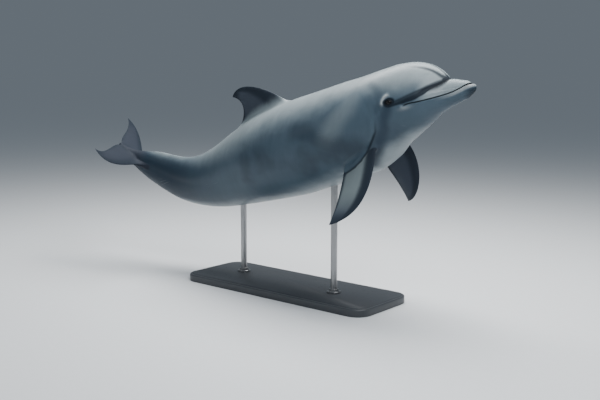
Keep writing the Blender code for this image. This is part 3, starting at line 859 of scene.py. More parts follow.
def places_and_normals(piece):
    count = len(piece.data.vertices)
    places, normals = np.empty(count * 3), np.empty(count * 3)
    piece.data.vertices.foreach_get("co", places)
    piece.data.vertex_normals.foreach_get("vector", normals)
    return places.reshape(-1, 3), normals.reshape(-1, 3)


places, normals = places_and_normals(hide)
origin, forward, left, up = frame_at(FLIPPER_STATION)
local = (places - origin) @ np.stack([forward, left, up], 1) / LENGTH
from_fold, fold_side = off_path(local[:, 0], local[:, 2], ARMPIT)
above_fold = from_fold * LENGTH * fold_side
on_flank = ramp(np.abs(local[:, 1]), 0.02, 0.04)
fold = on_flank * ramp(local[:, 0], -0.080, -0.055) * ramp(local[:, 0], 0.068, 0.045)
lift = fold * (0.0050 * bump(above_fold - 0.020, 0.015) - 0.0060 * bump(above_fold + 0.002, 0.011))
hide.data.vertices.foreach_set("co", (places + lift[:, None] * normals).ravel())
hide.data.update()
# Which way the faces point from the body: the hide leaves a flipper's inner face dark by it, as painted
# shade.
outer_face = (normals @ left) * np.sign(local[:, 1])
print("the fold moves", int((np.abs(lift) > 1e-4).sum()), "points")

# %% [markdown]
# ## Where the markings and the painted light and shade lie
#
# The markings of a bottlenose dolphin follow its body: a pale belly, a dark patch round the eye
# with a band running forward to the crease of the beak, and thin stripes from there over the melon
# to the blowhole. Light and shade are painted in with them: the back and the top of the head are
# painted paler than the flanks where light falls from above, and painted shade lies along the
# throat, behind the eye, on the tail stock and in the creases. So none of them is painted in an
# image. Each point stores how far it lies from the edge of a marking, and the material turns that
# into a mask with an edge as soft as it likes. A distance varies evenly over a face, so the edge
# stays smooth even where the mesh is coarse, which a stored mask would not.

# %% Edges and distances of the markings
across, rise, proud = section(S, A)
X, Y, Z = S * LENGTH, np.abs(across) * LENGTH, rise * LENGTH
lip = Z - through(MOUTH, S) * LENGTH
eye_x, eye_z = X - EYE_STATION * LENGTH, Z - EYE_RISE
hole_x, hole_y = X - BLOWHOLE_STATION * LENGTH, across * LENGTH - BLOWHOLE_LEFT
on_fin = (KIND > 0.5) & (KIND < 3.5)
FAR = 1.0                         # added where a marking is not wanted

half_height = through([(0, 0.03), (0.10, 0.16), (0.2, 0.2), (0.42, 0.26), (0.66, 0.19), (0.82, 0.11),
                       (0.95, 0.055), (0.992, 0.03)], S)
belly_edge = through([(0.0, -1.3), (0.05, -1.3), (0.09, -1.02), (0.13, -0.90), (0.19, -0.94),
                      (0.24, -0.98), (0.30, -0.88), (0.5, -0.82), (0.66, -0.84), (0.78, -1.0),
                      (0.85, -1.6)], S)
band_top = through([(0.035, 0.064), (0.044, 0.062), (0.059, 0.055), (0.072, 0.047), (0.087, 0.035),
                    (0.104, 0.024), (0.121, 0.016), (0.132, 0.012), (0.16, 0.012)], S)
band_foot = through([(0.035, 0.052), (0.047, 0.047), (0.057, 0.037), (0.067, 0.027), (0.075, 0.016),
                     (0.082, 0.003), (0.089, -0.004), (0.097, -0.011), (0.11, -0.015), (0.16, -0.015)], S)
off_melon = np.where(Z > 0.02, 0, FAR)
near_stripe = off_path(X, Y, [(0.114, 0.012), (0.125, 0.030), (0.138, 0.038), (0.174, 0.048),
                              (0.198, 0.055), (0.225, 0.061), (0.258, 0.066), (0.297, 0.067)])[0]
far_stripe = off_path(X, Y, [(0.112, 0.008), (0.130, 0.015), (0.160, 0.011), (0.230, 0.012),
                             (0.30, 0.019)])[0]
gape = off_path(X, lip, [(0.290, 0.0), (0.303, -0.001), (0.3115, -0.004), (0.319, -0.012)])[0]
slit = off_path(behind_slit(hole_x, hole_y), hole_y, [(0, -0.017), (1e-6, 0.017)])[0]
round_eye = np.hypot(eye_x * 0.85 + 0.002, eye_z * 1.05)
# Paths seen from the side for the flank's tones: painted shade down the throat and behind the eye, a paler
# blaze, and a darker cloud.
SHADES = {
    "throat_shade": [(0.385, -0.020), (0.421, -0.063), (0.438, -0.106), (0.480, -0.145), (0.525, -0.185),
                     (0.560, -0.205), (0.60, -0.235)],
    "temple_shade": [(0.446, 0.125), (0.420, 0.095), (0.409, 0.060), (0.420, 0.020), (0.436, -0.010)],
    "blaze": [(0.520, 0.130), (0.575, 0.062), (0.629, 0.032), (0.675, 0.0), (0.736, -0.030)],
    "cloud": [(0.60, -0.140), (0.66, -0.115), (0.735, -0.085), (0.82, 0.02), (0.90, 0.06)]}
print("the pale belly starts", -round(float(belly_edge.max()), 2), "half heights below the midline")


# %% Store them on the skin
def store(piece, name, values):
    values = np.asarray(values, np.float32)
    piece.data.attributes.new(name, "FLOAT", "POINT").data.foreach_set("value", values)


# Besides the markings, brow and lip_fold place painted highlights, and crease, fold and outer_face place
# painted shade.
stored = {
    "station": S, "height": Z / half_height, "belly_depth": belly_edge - Z / half_height,
    "band_top": Z - band_top, "band_foot": Z - band_foot,
    "near_stripe": near_stripe + off_melon, "far_stripe": far_stripe + off_melon,
    "blowhole": slit + np.where(Z > 0.1, 0, FAR), "round_eye": round_eye + np.where(Y > 0.1, 0, FAR),
    "brow": brow(eye_x, eye_z) * (Y > 0.1), "lip": lip, "crease": proud * LENGTH,
    "gape": gape + (Y < 0.05) * FAR + 0.004 * ramp(X, 0.300, 0.321),
    "lip_fold": bump((X - 0.308) * 0.42, 0.011) * bump(lip + 0.015, 0.009) * (Y > 0.05),
    "fold": fold, "above_fold": above_fold, "outer_face": outer_face,
    "fin": np.where(on_fin, REACH, 0), "share": np.where(on_fin, SHARE, 0.4),
    "flipper": (KIND == FLIPPER) * REACH, "fluke": (KIND == FLUKE) * (REACH + 0.03),
    "lid": np.where(KIND == LID_KIND, REACH, 9)}
stored.update({name: off_path(X, Z, path)[0] for name, path in SHADES.items()})
for name, values in stored.items():
    store(hide, name, values)
print(len(stored), "attributes on the skin")

# %% [markdown]
# ## Shader maths in Python
#
# A finish here is mostly arithmetic on masks and noises, and dozens of Math nodes wired one by one
# would be hard to read. A small class wraps a socket and turns Python's operators into nodes, so
# that `1 - mask * noise` builds the same network as dragging three nodes would.

# %% Wires and finishes
class Wire:
    """An output socket. Arithmetic on it adds Math nodes."""

    def __init__(self, finish, socket):
        self.finish, self.socket = finish, socket

    def math(self, operation, one, two=None):
        values = {0: one} if two is None else {0: one, 1: two}
        return self.finish.node("ShaderNodeMath", {"operation": operation}, values)

    def __add__(self, other): return self.math("ADD", self, other)
    def __radd__(self, other): return self.math("ADD", other, self)
    def __sub__(self, other): return self.math("SUBTRACT", self, other)
    def __rsub__(self, other): return self.math("SUBTRACT", other, self)
    def __mul__(self, other): return self.math("MULTIPLY", self, other)
    def __rmul__(self, other): return self.math("MULTIPLY", other, self)
    def __truediv__(self, other): return self.math("DIVIDE", self, other)
    def __pow__(self, other): return self.math("POWER", self, other)
    def __abs__(self): return self.math("ABSOLUTE", self)
    def least(self, other): return self.math("MINIMUM", self, other)
    def most(self, other): return self.math("MAXIMUM", self, other)

    def between(self, low, high):
        """0 below low and 1 above high, smooth between."""
        return self.finish.node("ShaderNodeMapRange", {"interpolation_type": "SMOOTHSTEP"},
                                {"Value": self, "From Min": low, "From Max": high})


class Finish:
    """A material whose network is being built."""

    def __init__(self, name):
        self.material = bpy.data.materials.new(name)
        self.material.use_nodes = True
        self.tree = self.material.node_tree
        self.shader = self.tree.nodes["Principled BSDF"]

    def node(self, kind, settings=None, inputs=None, output=0):
        new = self.tree.nodes.new(kind)
        for key, value in (settings or {}).items():
            setattr(new, key, value)
        for key, value in (inputs or {}).items():
            self.feed(new.inputs[key], value)
        return Wire(self, new.outputs[output])

    def feed(self, socket, value):
        if isinstance(value, Wire):
            self.tree.links.new(value.socket, socket)
        else:
            socket.default_value = value

    def attribute(self, name):
        return self.node("ShaderNodeAttribute", {"attribute_name": name}, output="Fac")

    def place(self, stretch=(1, 1, 1), turn=(0, 0, 0), move=(0, 0, 0)):
        """Object coordinates, stretched, turned and moved."""
        at = self.node("ShaderNodeTexCoord", output="Object")
        return self.node("ShaderNodeMapping", None, {"Vector": at, "Scale": stretch, "Rotation": turn,
                                                     "Location": move})

    def noise(self, scale, detail=4.0, roughness=0.55, at=None, distortion=0.0):
        return self.node("ShaderNodeTexNoise", None,
                         {"Vector": at or self.place(), "Scale": scale, "Detail": detail,
                          "Roughness": roughness, "Distortion": distortion})

    def blend(self, one, two, factor):
        """Colour one turned into colour two by a factor."""
        return self.node("ShaderNodeMix", {"data_type": "RGBA"}, {0: factor, 6: one, 7: two}, 2)

    def bump(self, height, distance, strength):
        return self.node("ShaderNodeBump", None,
                         {"Height": height, "Distance": distance, "Strength": strength})

    def set(self, **inputs):
        for key, value in inputs.items():
            self.feed(self.shader.inputs[key.replace("_", " ")], value)
        return self.material


print("Wire and Finish build every material below")

# %% [markdown]
# ## The hide
#
# A dolphin's skin is rubbery and hairless, and nearly smooth: what the eye reads is the soft
# mottling of its greys, thin pale scratches in parallel rakes where other dolphins' teeth went,
# and a wet sheen. The colour starts from the stored markings and the light and shade painted with
# them, noise at several sizes breaks up every border and tone, and the same noises move the
# roughness and a very shallow bump.

# %% The hide's dark markings
def markings(f, mottle):
    """The soft dark markings of the head with painted shade in the crease, under the chin and along
    the armpit's fold, and its black lines with a painted shadow at the crease's foot: two masks.
    """
    station, lip = f.attribute("station"), f.attribute("lip")
    wander = (mottle - 0.5) * 0.006
    top, foot = f.attribute("band_top") + wander, f.attribute("band_foot") + wander
    band = top.between(0.005, -0.007) * foot.between(-0.006, 0.004)
    band = band * station.between(0.036, 0.044) * station.between(0.152, 0.138)
    band = band * (0.80 + 0.20 * top.between(-0.012, -0.022))
    eye = (f.attribute("round_eye") + wander).between(0.029, 0.019)
    near = (f.attribute("near_stripe") + wander * 0.4).between(0.010, 0.001)
    far = (f.attribute("far_stripe") + wander * 0.4).between(0.008, 0.001)
    stripes = near * station.between(0.116, 0.065) + far * station.between(0.118, 0.06) * 0.9
    # Painted shade in the crease between melon and beak.
    crease = abs(f.attribute("crease")).between(0.010, 0.001) * station.between(0.095, 0.065)
    crease = crease * station.between(0.024, 0.034) * lip.between(0.026, 0.040)
    # Painted shade under the chin, where its round form turns away from the light.
    chin = station.between(0.024, 0.006) * lip.between(-0.012, -0.028)
    # Painted shade along the armpit's fold.
    fold = abs(f.attribute("above_fold")).between(0.009, 0.001) * f.attribute("fold")
    soft = band.most(eye) + stripes * 0.9 + crease * 0.8 + chin * 0.75 + fold * 0.85

    at_tip = abs(lip).between(0.0075, 0.003) * station.between(0.020, 0.006)
    mouth = abs(lip).between(0.0042, 0.0012).most(at_tip) * station.between(0.117, 0.115)
    mouth = mouth.most(f.attribute("gape").between(0.0045, 0.0012))
    hole = f.attribute("blowhole").between(0.0055, 0.0015)
    lids = f.attribute("lid").between(1.75, 1.15)
    # The crease adds a painted shadow line at its foot.
    black = mouth + crease * foot.between(0.012, -0.002) * 0.6 + hole + lids * 0.9
    return soft.least(1.0), black.least(1.0)


def fin_masks(f, mottle, station):
    """All fins, the flukes alone, the pale middle of a flipper's outer face with its inner face left
    dark as painted shade, and the dark rims with painted shade at the flukes' notch.
    """
    out, share, flipper = f.attribute("fin"), f.attribute("share"), f.attribute("flipper")
    dorsal = (out + (mottle - 0.5) * 0.10).between(0.02, 0.20) * flipper.between(0.02, 0.0)
    flipper = flipper.between(0.0, 0.02) * f.attribute("above_fold").between(0.004, -0.004)
    fluke = f.attribute("fluke").between(0.0, 0.03).most(station.between(0.905, 0.945))
    fin = dorsal.most(flipper).most(fluke)
    rim = share.between(0.42, 0.10) * flipper.most(out.between(0.0, 0.10))
    rim = rim.most(share.between(0.80, 1.0) * out.between(0.02, 0.2)).most(out.between(0.50, 0.88))
    rim = (rim + (mottle - 0.5) * 0.3).between(0.1, 0.95) * fin
    # Painted shade: the flukes darken towards the notch between them.
    notch = fluke * out.between(0.10, 0.0) * share.between(0.25, 0.85)
    middle = flipper * share.between(0.05, 0.35) * (1 - out.between(0.35, 0.75))
    # The pale middle stops at the inner face, which stays dark as painted shade.
    return fin, fluke, middle * f.attribute("outer_face").between(-0.1, 0.3), rim.most(notch)


def tooth_rakes(f, fin):
    """Fine parallel scratches that show only in a few places of the body."""
    scratch = f.node("ShaderNodeTexWave", {"wave_type": "BANDS", "bands_direction": "Z"},
                     {"Vector": f.place(turn=(0.5, 0.2, 0.4)), "Scale": 26.0, "Distortion": 2.0,
                      "Detail": 2.0, "Detail Scale": 0.4})
    here = f.noise(4.5, 2.0, 0.5, f.place(move=(3.1, 1.7, 0.4))).between(0.62, 0.70)
    broken = f.noise(22.0, 3.0, 0.6, f.place(stretch=(0.4, 1, 1))).between(0.48, 0.66)
    return scratch.between(0.95, 1.0) * here * broken * (1 - fin)


# %% The hide's finish
FLANK = (0.052, 0.079, 0.104, 1)
# Painted top light on the back and head, and the pale blaze of the shoulder.
PALE_TOP_LIGHT_AND_BLAZE = (0.195, 0.232, 0.247, 1)
# Darker patches behind the shoulder, and painted shade on the side of the tail stock.
DARK_PATCHES_AND_STOCK_SHADE = (0.016, 0.028, 0.043, 1)            # behind the shoulder and on the tail stock
BELLY = (0.225, 0.262, 0.280, 1)
# Painted shade down the throat to the flipper and behind the eye.
THROAT_AND_TEMPLE_SHADE = (0.020, 0.034, 0.052, 1)
# Painted highlights on the brow, the fold at the mouth's corner and the lower lip.
BROW_AND_LIP_HIGHLIGHT = (0.31, 0.34, 0.35, 1)
FIN_GREY = (0.038, 0.048, 0.066, 1)
FLUKE_GREY = (0.018, 0.023, 0.034, 1)
FLIPPER_MIDDLE = (0.150, 0.182, 0.190, 1)
# The fins' dark rims, and painted shade at the flukes' notch.
FIN_RIM_AND_NOTCH_SHADE = (0.012, 0.018, 0.027, 1)
# The head's dark markings, with painted shade in the crease, under the chin and along the armpit's fold.
DARK_MARKS_AND_PAINTED_SHADE = (0.007, 0.012, 0.019, 1)
# The black lines of the mouth, the blowhole and the lids, with a painted shadow at the crease's foot.
BLACK_LINES_AND_CREASE_SHADOW = (0.005, 0.007, 0.010, 1)
OLD_SCRATCH = (0.285, 0.300, 0.315, 1)


def make_hide():
    f = Finish("wet_grey_hide")
    cloud = f.noise(2.6, 5.0, 0.6)
    mottle = f.noise(14.0, 6.0, 0.65, distortion=0.4)
    grain = f.noise(160.0, 3.0, 0.6)
    brush = f.noise(7.0, 6.0, 0.7, f.place(stretch=(3.0, 1.0, 0.7), turn=(0.0, 0.5, 0.0)))
    wander = (cloud - 0.5) * 0.5 + (mottle - 0.5) * 0.2
    station, height, lip = f.attribute("station"), f.attribute("height"), f.attribute("lip")

    face, stock = station.between(0.20, 0.12), station.between(0.60, 0.85)
    # Painted top light: the upper back, the face and the top of the upper jaw are painted paler where light
    # falls from above, less so on the tail stock.
    painted_top_light = (height + wander * 0.7 + face * 0.22 - stock * 0.42).between(0.25, 0.95)
    painted_top_light = painted_top_light.most(station.between(0.105, 0.075) * lip.between(-0.002, 0.006) * 0.85)
    belly = (f.attribute("belly_depth") + wander * 0.5).between(-0.16, 0.22)
    shoulder = f.noise(3.4, 3.0, 0.5, f.place(move=(0.35, 0.2, 0.0))).between(0.50, 0.72) * 0.6
    shoulder = shoulder.most((f.attribute("cloud") + wander * 0.08).between(0.085, 0.01) * 0.6)
    blaze = (f.attribute("blaze") + wander * 0.10).between(0.085, 0.005) * 0.42
    shade = f.attribute("throat_shade").between(0.040, 0.004) * 0.8
    shade = shade.most((f.attribute("temple_shade") + wander * 0.03).between(0.028, 0.002) * 0.35)
    # Painted highlights: the brow, the fold below the mouth's corner and the lower lip are lighter.
    lower_lip = lip.between(-0.022, -0.012) * lip.between(0.0, -0.004) * station.between(0.075, 0.02)
    pale = f.attribute("brow").most(f.attribute("lip_fold") * 0.5).most(lower_lip * 0.8)
    soft, black = markings(f, mottle)
    fin, fluke, middle, rim = fin_masks(f, mottle, station)

    colour = FLANK
    for grey, mask in (
            (PALE_TOP_LIGHT_AND_BLAZE, painted_top_light.most(blaze)), (DARK_PATCHES_AND_STOCK_SHADE, shoulder.most(stock * 0.95) * (1 - painted_top_light)), (BELLY, belly),
            (THROAT_AND_TEMPLE_SHADE, shade), (BROW_AND_LIP_HIGHLIGHT, pale * 0.88), (FIN_GREY, fin * 0.96), (FLUKE_GREY, fluke * 0.96),
            (FLIPPER_MIDDLE, middle * 0.9), (FIN_RIM_AND_NOTCH_SHADE, rim * 0.88), (DARK_MARKS_AND_PAINTED_SHADE, soft * 0.98),
            (BLACK_LINES_AND_CREASE_SHADOW, black * 0.96)):
        colour = f.blend(colour, grey, mask)
    tone = 0.62 + cloud * 0.28 + mottle * 0.16 + grain * 0.06 + brush * 0.28
    colour = f.node("ShaderNodeVectorMath", {"operation": "SCALE"}, {0: colour, "Scale": tone})
    rakes = tooth_rakes(f, fin)
    colour = f.blend(colour, OLD_SCRATCH, rakes * 0.30)

    rough = 0.38 + mottle * 0.12 + grain * 0.06 + belly * 0.05 + soft * 0.20 + fin * 0.20
    wet = (0.18 + mottle * 0.04) * (1 - fin.most(soft) * 0.95)
    surface = f.bump(mottle * 0.5 + grain * 0.16 - rakes * 0.3, 0.0012, 0.5)
    return f.set(Base_Color=colour, Roughness=rough, Coat_Weight=wet, Coat_Roughness=0.20,
                 Coat_IOR=1.34, Specular_IOR_Level=0.12, Normal=surface)


hide.data.materials.append(make_hide())
print("hide finish:", len(hide.data.materials[0].node_tree.nodes), "nodes")

# %% [markdown]
# ## The eyeballs
#
# The iris of a dolphin is so dark that the eye looks black from a distance, with the pupil low in
# it. A plain black ball would lose the moist depth that makes it look alive. So the ball carries
# dark rings and streaks, drawn round its own gaze, under a clear coat that catches the lamps.

# %% Eyeballs and their finish
IRIS_DARK, IRIS_LIGHT = (0.005, 0.005, 0.006, 1), (0.012, 0.010, 0.009, 1)
IRIS_RIM, EYE_WHITE = (0.010, 0.009, 0.010, 1), (0.024, 0.024, 0.027, 1)    # its white is dark too
PUPIL = (0.002, 0.002, 0.004, 1)
CORNEA = 0.0004                   # how far it rises over the ball


def make_eye_finish():
    f = Finish("dark_eye")
    x, y = f.attribute("gaze_x"), f.attribute("gaze_y")
    away = (x * x + y * y) ** 0.5
    pupil = 1 - ((x * x * 0.45 + (y + 0.12) * (y + 0.12) * 2.2) ** 0.5).between(0.20, 0.26)
    spoke = f.node("ShaderNodeCombineXYZ", None,
                   {0: x / (away + 0.05), 1: y / (away + 0.05), 2: away * 0.3})
    streak = f.noise(9.0, 4.0, 0.7, spoke)
    colour = f.blend(IRIS_DARK, IRIS_LIGHT, streak.between(0.35, 0.7))
    colour = f.blend(colour, IRIS_RIM, away.between(0.46, 0.62))
    colour = f.blend(colour, EYE_WHITE, away.between(0.75, 1.0))
    colour = f.blend(colour, PUPIL, pupil)
    return f.set(Base_Color=colour, Roughness=0.30 + streak * 0.1, Specular_IOR_Level=0.0,
                 Coat_Weight=0.8, Coat_Roughness=0.03, Coat_IOR=1.38)


def make_eyeball(side, material):
    """A ball with a slightly raised cornea. Its front points store where they lie round the gaze."""
    eye = EYES[side]
    rings, around = 40, 64
    theta = np.linspace(0, pi, rings + 1)[1:-1]
    psi = np.arange(around) * 2 * pi / around
    ring = np.stack([np.sin(theta)[:, None] * np.cos(psi), np.sin(theta)[:, None] * np.sin(psi),
                     np.cos(theta)[:, None] + 0 * psi], -1).reshape(-1, 3)
    local = np.concatenate([ring, [[0, 0, 1], [0, 0, -1]]])
    in_front = local[:, 2] > 0
    radius = EYE_RADIUS + CORNEA * bump(np.hypot(local[:, 0], local[:, 1]), 0.30) * in_front
    world = eye.world(local * radius[:, None])
    number = np.arange(len(ring)).reshape(-1, around)
    after = np.roll(number, -1, 1)
    faces = np.stack([number[:-1], number[1:], after[1:], after[:-1]], -1).reshape(-1, 4).tolist()
    faces += [[len(ring), a, b] for a, b in zip(number[0], after[0])]
    faces += [[len(ring) + 1, b, a] for a, b in zip(number[-1], after[-1])]
    ball = new_piece("eyeball_" + side, world, faces, material)
    store(ball, "gaze_x", local[:, 0] + 0.02)
    store(ball, "gaze_y", np.where(in_front, local[:, 1], 2.0))
    return ball


eye_finish = make_eye_finish()
eyeballs = {side: make_eyeball(side, eye_finish) for side in EYES}
for ball in eyeballs.values():
    face_outwards(ball)
print("two eyeballs of", 2 * EYE_RADIUS * 1000, "mm")

# %% [markdown]
# ## The stand
#
# A life-size model needs a heavy foot and as little else as possible. Two steel rods carry it from
# under the chest and the loin, where the belly is broad, and each is screwed to a painted plate
# through a collar. Turned parts are profiles spun round an axis: a few radii and heights say all
# there is to know about them, and small chamfers catch the light as machined edges do.

# %% Turned parts
BASE_LOW, BASE_HIGH = (Vector(corner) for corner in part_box("stand_base"))


def turned(name, x, y, profile, material, around=72):
    """Spin a profile of (radius, height) round an upright axis. Radius 0 ends become points."""
    psi = np.arange(around) * 2 * pi / around
    points, faces, loops = [], [], []
    for radius, height in profile:
        if radius == 0:
            loops.append([len(points)])
            points.append((x, y, height))
        else:
            loops.append(list(range(len(points), len(points) + around)))
            points += [(x + radius * cos(p), y + radius * sin(p), height) for p in psi]
    for lower, upper in zip(loops, loops[1:]):
        for k in range(around):
            n = (k + 1) % around
            corners = [lower[k % len(lower)], lower[n % len(lower)], upper[n % len(upper)],
                       upper[k % len(upper)]]
            faces.append(list(dict.fromkeys(corners)))
    return new_piece(name, points, faces, material)


def soften(piece, angle=35):
    """Smooth shading with crisp machined edges."""
    piece.data.shade_smooth()
    mesh = bmesh.new()
    mesh.from_mesh(piece.data)
    bmesh.ops.recalc_face_normals(mesh, faces=mesh.faces)
    for edge in mesh.edges:
        edge.smooth = edge.calc_face_angle(0) < radians(angle)
    mesh.to_mesh(piece.data)
    mesh.free()


# %% Paint and steel
def make_paint():
    f = Finish("satin_slate_paint")
    peel = f.noise(420.0, 2.0, 0.5)
    cloud = f.noise(5.0, 4.0, 0.6)
    dust = f.noise(60.0, 5.0, 0.7).between(0.55, 0.75)
    colour = f.blend((0.030, 0.034, 0.040, 1), (0.042, 0.047, 0.054, 1), cloud)
    colour = f.blend(colour, (0.12, 0.125, 0.13, 1), dust * 0.10)
    return f.set(Base_Color=colour, Roughness=0.36 + dust * 0.14 + cloud * 0.06,
                 Specular_IOR_Level=0.5, Normal=f.bump(peel, 0.0003, 0.35))


def make_steel():
    f = Finish("brushed_steel_rods")
    lines = f.noise(5.0, 3.0, 0.7, f.place(stretch=(9, 9, 160)))
    smudge = f.noise(18.0, 4.0, 0.6)
    colour = f.blend((0.27, 0.275, 0.28, 1), (0.40, 0.40, 0.405, 1), lines)
    return f.set(Base_Color=colour, Metallic=1.0, Roughness=0.24 + lines * 0.14 + smudge * 0.06,
                 Normal=f.bump(lines, 0.0002, 0.25))


paint, steel = make_paint(), make_steel()
print("two finishes for the stand")

# %% The base plate
BASE_CORNER = 0.09


def rounded_plate(name, low, high, corner, profile, material, steps=14):
    """A plate with round corners. profile gives (inset, height) from the underside up."""
    points, loops = [], []
    quarter = np.linspace(0, pi / 2, steps)
    middle = (np.array(low) + np.array(high)) / 2
    for inset, height in profile:
        reach = (np.array(high) - np.array(low))[:2] / 2 - corner
        ring = [(middle[0] + sx * reach[0] + (corner - inset) * cos(p),
                 middle[1] + sy * reach[1] + (corner - inset) * sin(p), height)
                for (sx, sy), start in (((1, 1), 0), ((-1, 1), pi / 2), ((-1, -1), pi),
                                        ((1, -1), 1.5 * pi))
                for p in quarter + start]
        loops.append(list(range(len(points), len(points) + len(ring))))
        points += ring
    faces = [list(loops[0][::-1]), list(loops[-1])]
    for lower, upper in zip(loops, loops[1:]):
        faces += [[lower[k - 1], lower[k], upper[k], upper[k - 1]] for k in range(len(lower))]
    return new_piece(name, points, faces, material)


top = BASE_HIGH.z
# From the underside up: a chamfer, the side, a round edge and a shallow groove inside it.
plate = rounded_plate("stand_plate", BASE_LOW, BASE_HIGH, BASE_CORNER, [
    (0.004, 0.0), (0.001, 0.0012), (0, 0.004), (0, top - 0.0065), (0.0006, top - 0.0042),
    (0.0020, top - 0.0020), (0.0042, top - 0.0006), (0.0065, top), (0.013, top), (0.0138, top - 0.0009),
    (0.0152, top - 0.0009), (0.016, top)], paint)
soften(plate, 50)
print("plate of", len(plate.data.polygons), "faces")


# %% Rods and collars
def place_of(node):
    low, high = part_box(node)
    return (low[0] + high[0]) / 2, (low[1] + high[1]) / 2, low[2], high[2]


ROD_RADIUS, COLLAR_RADIUS = 0.018, 0.038
ROD_END = 0.010                   # how far a rod runs into the skin
FLANGE = 0.009                    # height of a collar's flange
rods, collars = {}, {}
for word in ("front", "rear"):
    x, y, foot, crown = place_of("stand_rod_" + word)
    rods[word] = turned("rod_" + word, x, y, [
        (0, foot), (ROD_RADIUS, foot), (ROD_RADIUS, crown + ROD_END), (0, crown + ROD_END)], steel)
    x, y, low, high = place_of("stand_collar_" + word)
    r, bore, ledge = COLLAR_RADIUS, ROD_RADIUS + 0.0002, low + FLANGE
    collars[word] = turned("collar_" + word, x, y, [
        (bore, low), (r - 0.001, low), (r, low + 0.001), (r, ledge - 0.0015), (r - 0.0015, ledge),
        (0.0275, ledge), (0.0262, ledge + 0.0012), (0.0262, high - 0.0015), (0.0247, high),
        (0.0195, high), (bore, high - 0.0012), (bore, low)], steel)
    soften(rods[word])
    soften(collars[word])
print("rods at", *(np.round(place_of("stand_rod_" + word)[:2], 3) for word in rods))

# %% [markdown]
# Each collar is held by four socket-head screws on a circle. What repeats round a circle suits
# Geometry Nodes: one screw is modelled, and the tree sets a copy on every point of a mesh circle.

# %% One screw
SCREW_RADIUS, SCREW_HEIGHT = 0.0042, 0.0036


def make_screw(around=24):
    """A small socket-head screw, whose socket has six sides."""
    points, loops = [], []
    for scale, height, sides in (
            (1, 0, around), (1, SCREW_HEIGHT - 0.0005, around), (0.9, SCREW_HEIGHT, around),
            (0.60, SCREW_HEIGHT, 6), (0.56, SCREW_HEIGHT - 0.0020, 6)):
        loops.append(list(range(len(points), len(points) + around)))
        for k in range(around):
            p = 2 * pi * k / around
            reach = SCREW_RADIUS * scale
            if sides == 6:
                reach *= cos(pi / 6) / cos((p + pi / 6) % (pi / 3) - pi / 6)
            points.append((reach * cos(p), reach * sin(p), height))
    faces = [loops[0][::-1], loops[-1]]
    for lower, upper in zip(loops, loops[1:]):
        faces += [[lower[k - 1], lower[k], upper[k], upper[k - 1]] for k in range(around)]
    screw = new_piece("screw", points, faces)
    soften(screw, 30)
    return screw


screw = make_screw()
print("a screw of", len(screw.data.polygons), "faces")


# %% Rings of screws
def ring_tree(screw):
    """Screws on a circle, with their count, the circle's radius and its centre as inputs."""
    tree = bpy.data.node_groups.new("screws_on_a_circle", "GeometryNodeTree")
    ports = {}
    for name, kind in (("Count", "NodeSocketInt"), ("Radius", "NodeSocketFloat"),
                       ("Centre", "NodeSocketVector"), ("Material", "NodeSocketMaterial")):
        ports[name] = tree.interface.new_socket(name, in_out="INPUT", socket_type=kind).identifier
    tree.interface.new_socket("Geometry", in_out="OUTPUT", socket_type="NodeSocketGeometry")
    nodes = {kind: tree.nodes.new(kind) for kind in (
        "NodeGroupInput", "NodeGroupOutput", "GeometryNodeMeshCircle", "GeometryNodeInstanceOnPoints",
        "GeometryNodeObjectInfo", "GeometryNodeTransform", "GeometryNodeRealizeInstances",
        "GeometryNodeSetMaterial")}
    given, result = nodes["NodeGroupInput"], nodes["NodeGroupOutput"]
    circle, copies = nodes["GeometryNodeMeshCircle"], nodes["GeometryNodeInstanceOnPoints"]
    move, real = nodes["GeometryNodeTransform"], nodes["GeometryNodeRealizeInstances"]
    coat = nodes["GeometryNodeSetMaterial"]
    nodes["GeometryNodeObjectInfo"].inputs["Object"].default_value = screw
    for start, end in (
            (given.outputs["Count"], circle.inputs["Vertices"]),
            (given.outputs["Radius"], circle.inputs["Radius"]),
            (circle.outputs["Mesh"], copies.inputs["Points"]),
            (nodes["GeometryNodeObjectInfo"].outputs["Geometry"], copies.inputs["Instance"]),
            (copies.outputs["Instances"], move.inputs["Geometry"]),
            (given.outputs["Centre"], move.inputs["Translation"]),
            (move.outputs["Geometry"], real.inputs["Geometry"]),
            (real.outputs["Geometry"], coat.inputs["Geometry"]),
            (given.outputs["Material"], coat.inputs["Material"]),
            (coat.outputs["Geometry"], result.inputs["Geometry"])):
        tree.links.new(start, end)
    return tree, ports


def ring_of_screws(name, tree, ports, centre, radius, count):
    carrier = new_piece(name + "_carrier", [(0, 0, 0)], [])
    modifier = carrier.modifiers.new("ring", "NODES")
    modifier.node_group = tree
    for port, value in (("Count", count), ("Radius", radius), ("Centre", centre), ("Material", steel)):
        modifier[ports[port]] = value
    bpy.context.view_layer.update()
    evaluated = carrier.evaluated_get(bpy.context.evaluated_depsgraph_get())
    mesh = bpy.data.meshes.new_from_object(evaluated)
    mesh.name = name
    piece = bpy.data.objects.new(name, mesh)
    bpy.context.scene.collection.objects.link(piece)
    bpy.data.objects.remove(carrier)
    return piece


SCREW_CIRCLE, SCREW_COUNT = 0.0325, 4
screw_tree, screw_ports = ring_tree(screw)
screws = {}
for word in collars:
    x, y, low, _ = place_of("stand_collar_" + word)
    screws[word] = ring_of_screws("screws_" + word, screw_tree, screw_ports, (x, y, low + FLANGE),
                                  SCREW_CIRCLE, SCREW_COUNT)
bpy.data.objects.remove(screw)
bpy.data.node_groups.remove(screw_tree)
print("screws:", sum(len(piece.data.polygons) for piece in screws.values()), "faces in two rings")

# %% [markdown]
# ## Floor and light
#
# Sunlight through the surface comes down on a dolphin from above and is softened on the way. A
# large soft lamp overhead, a little behind the back, does the same here: it lights the pale band
# along the back, which the hide also paints paler, and lets the flank fall away towards the belly.
# A smaller one off the bow models the head, and a weak wide lamp at the camera's left keeps the
# shaded side readable. The floor and the world are a plain pale grey.

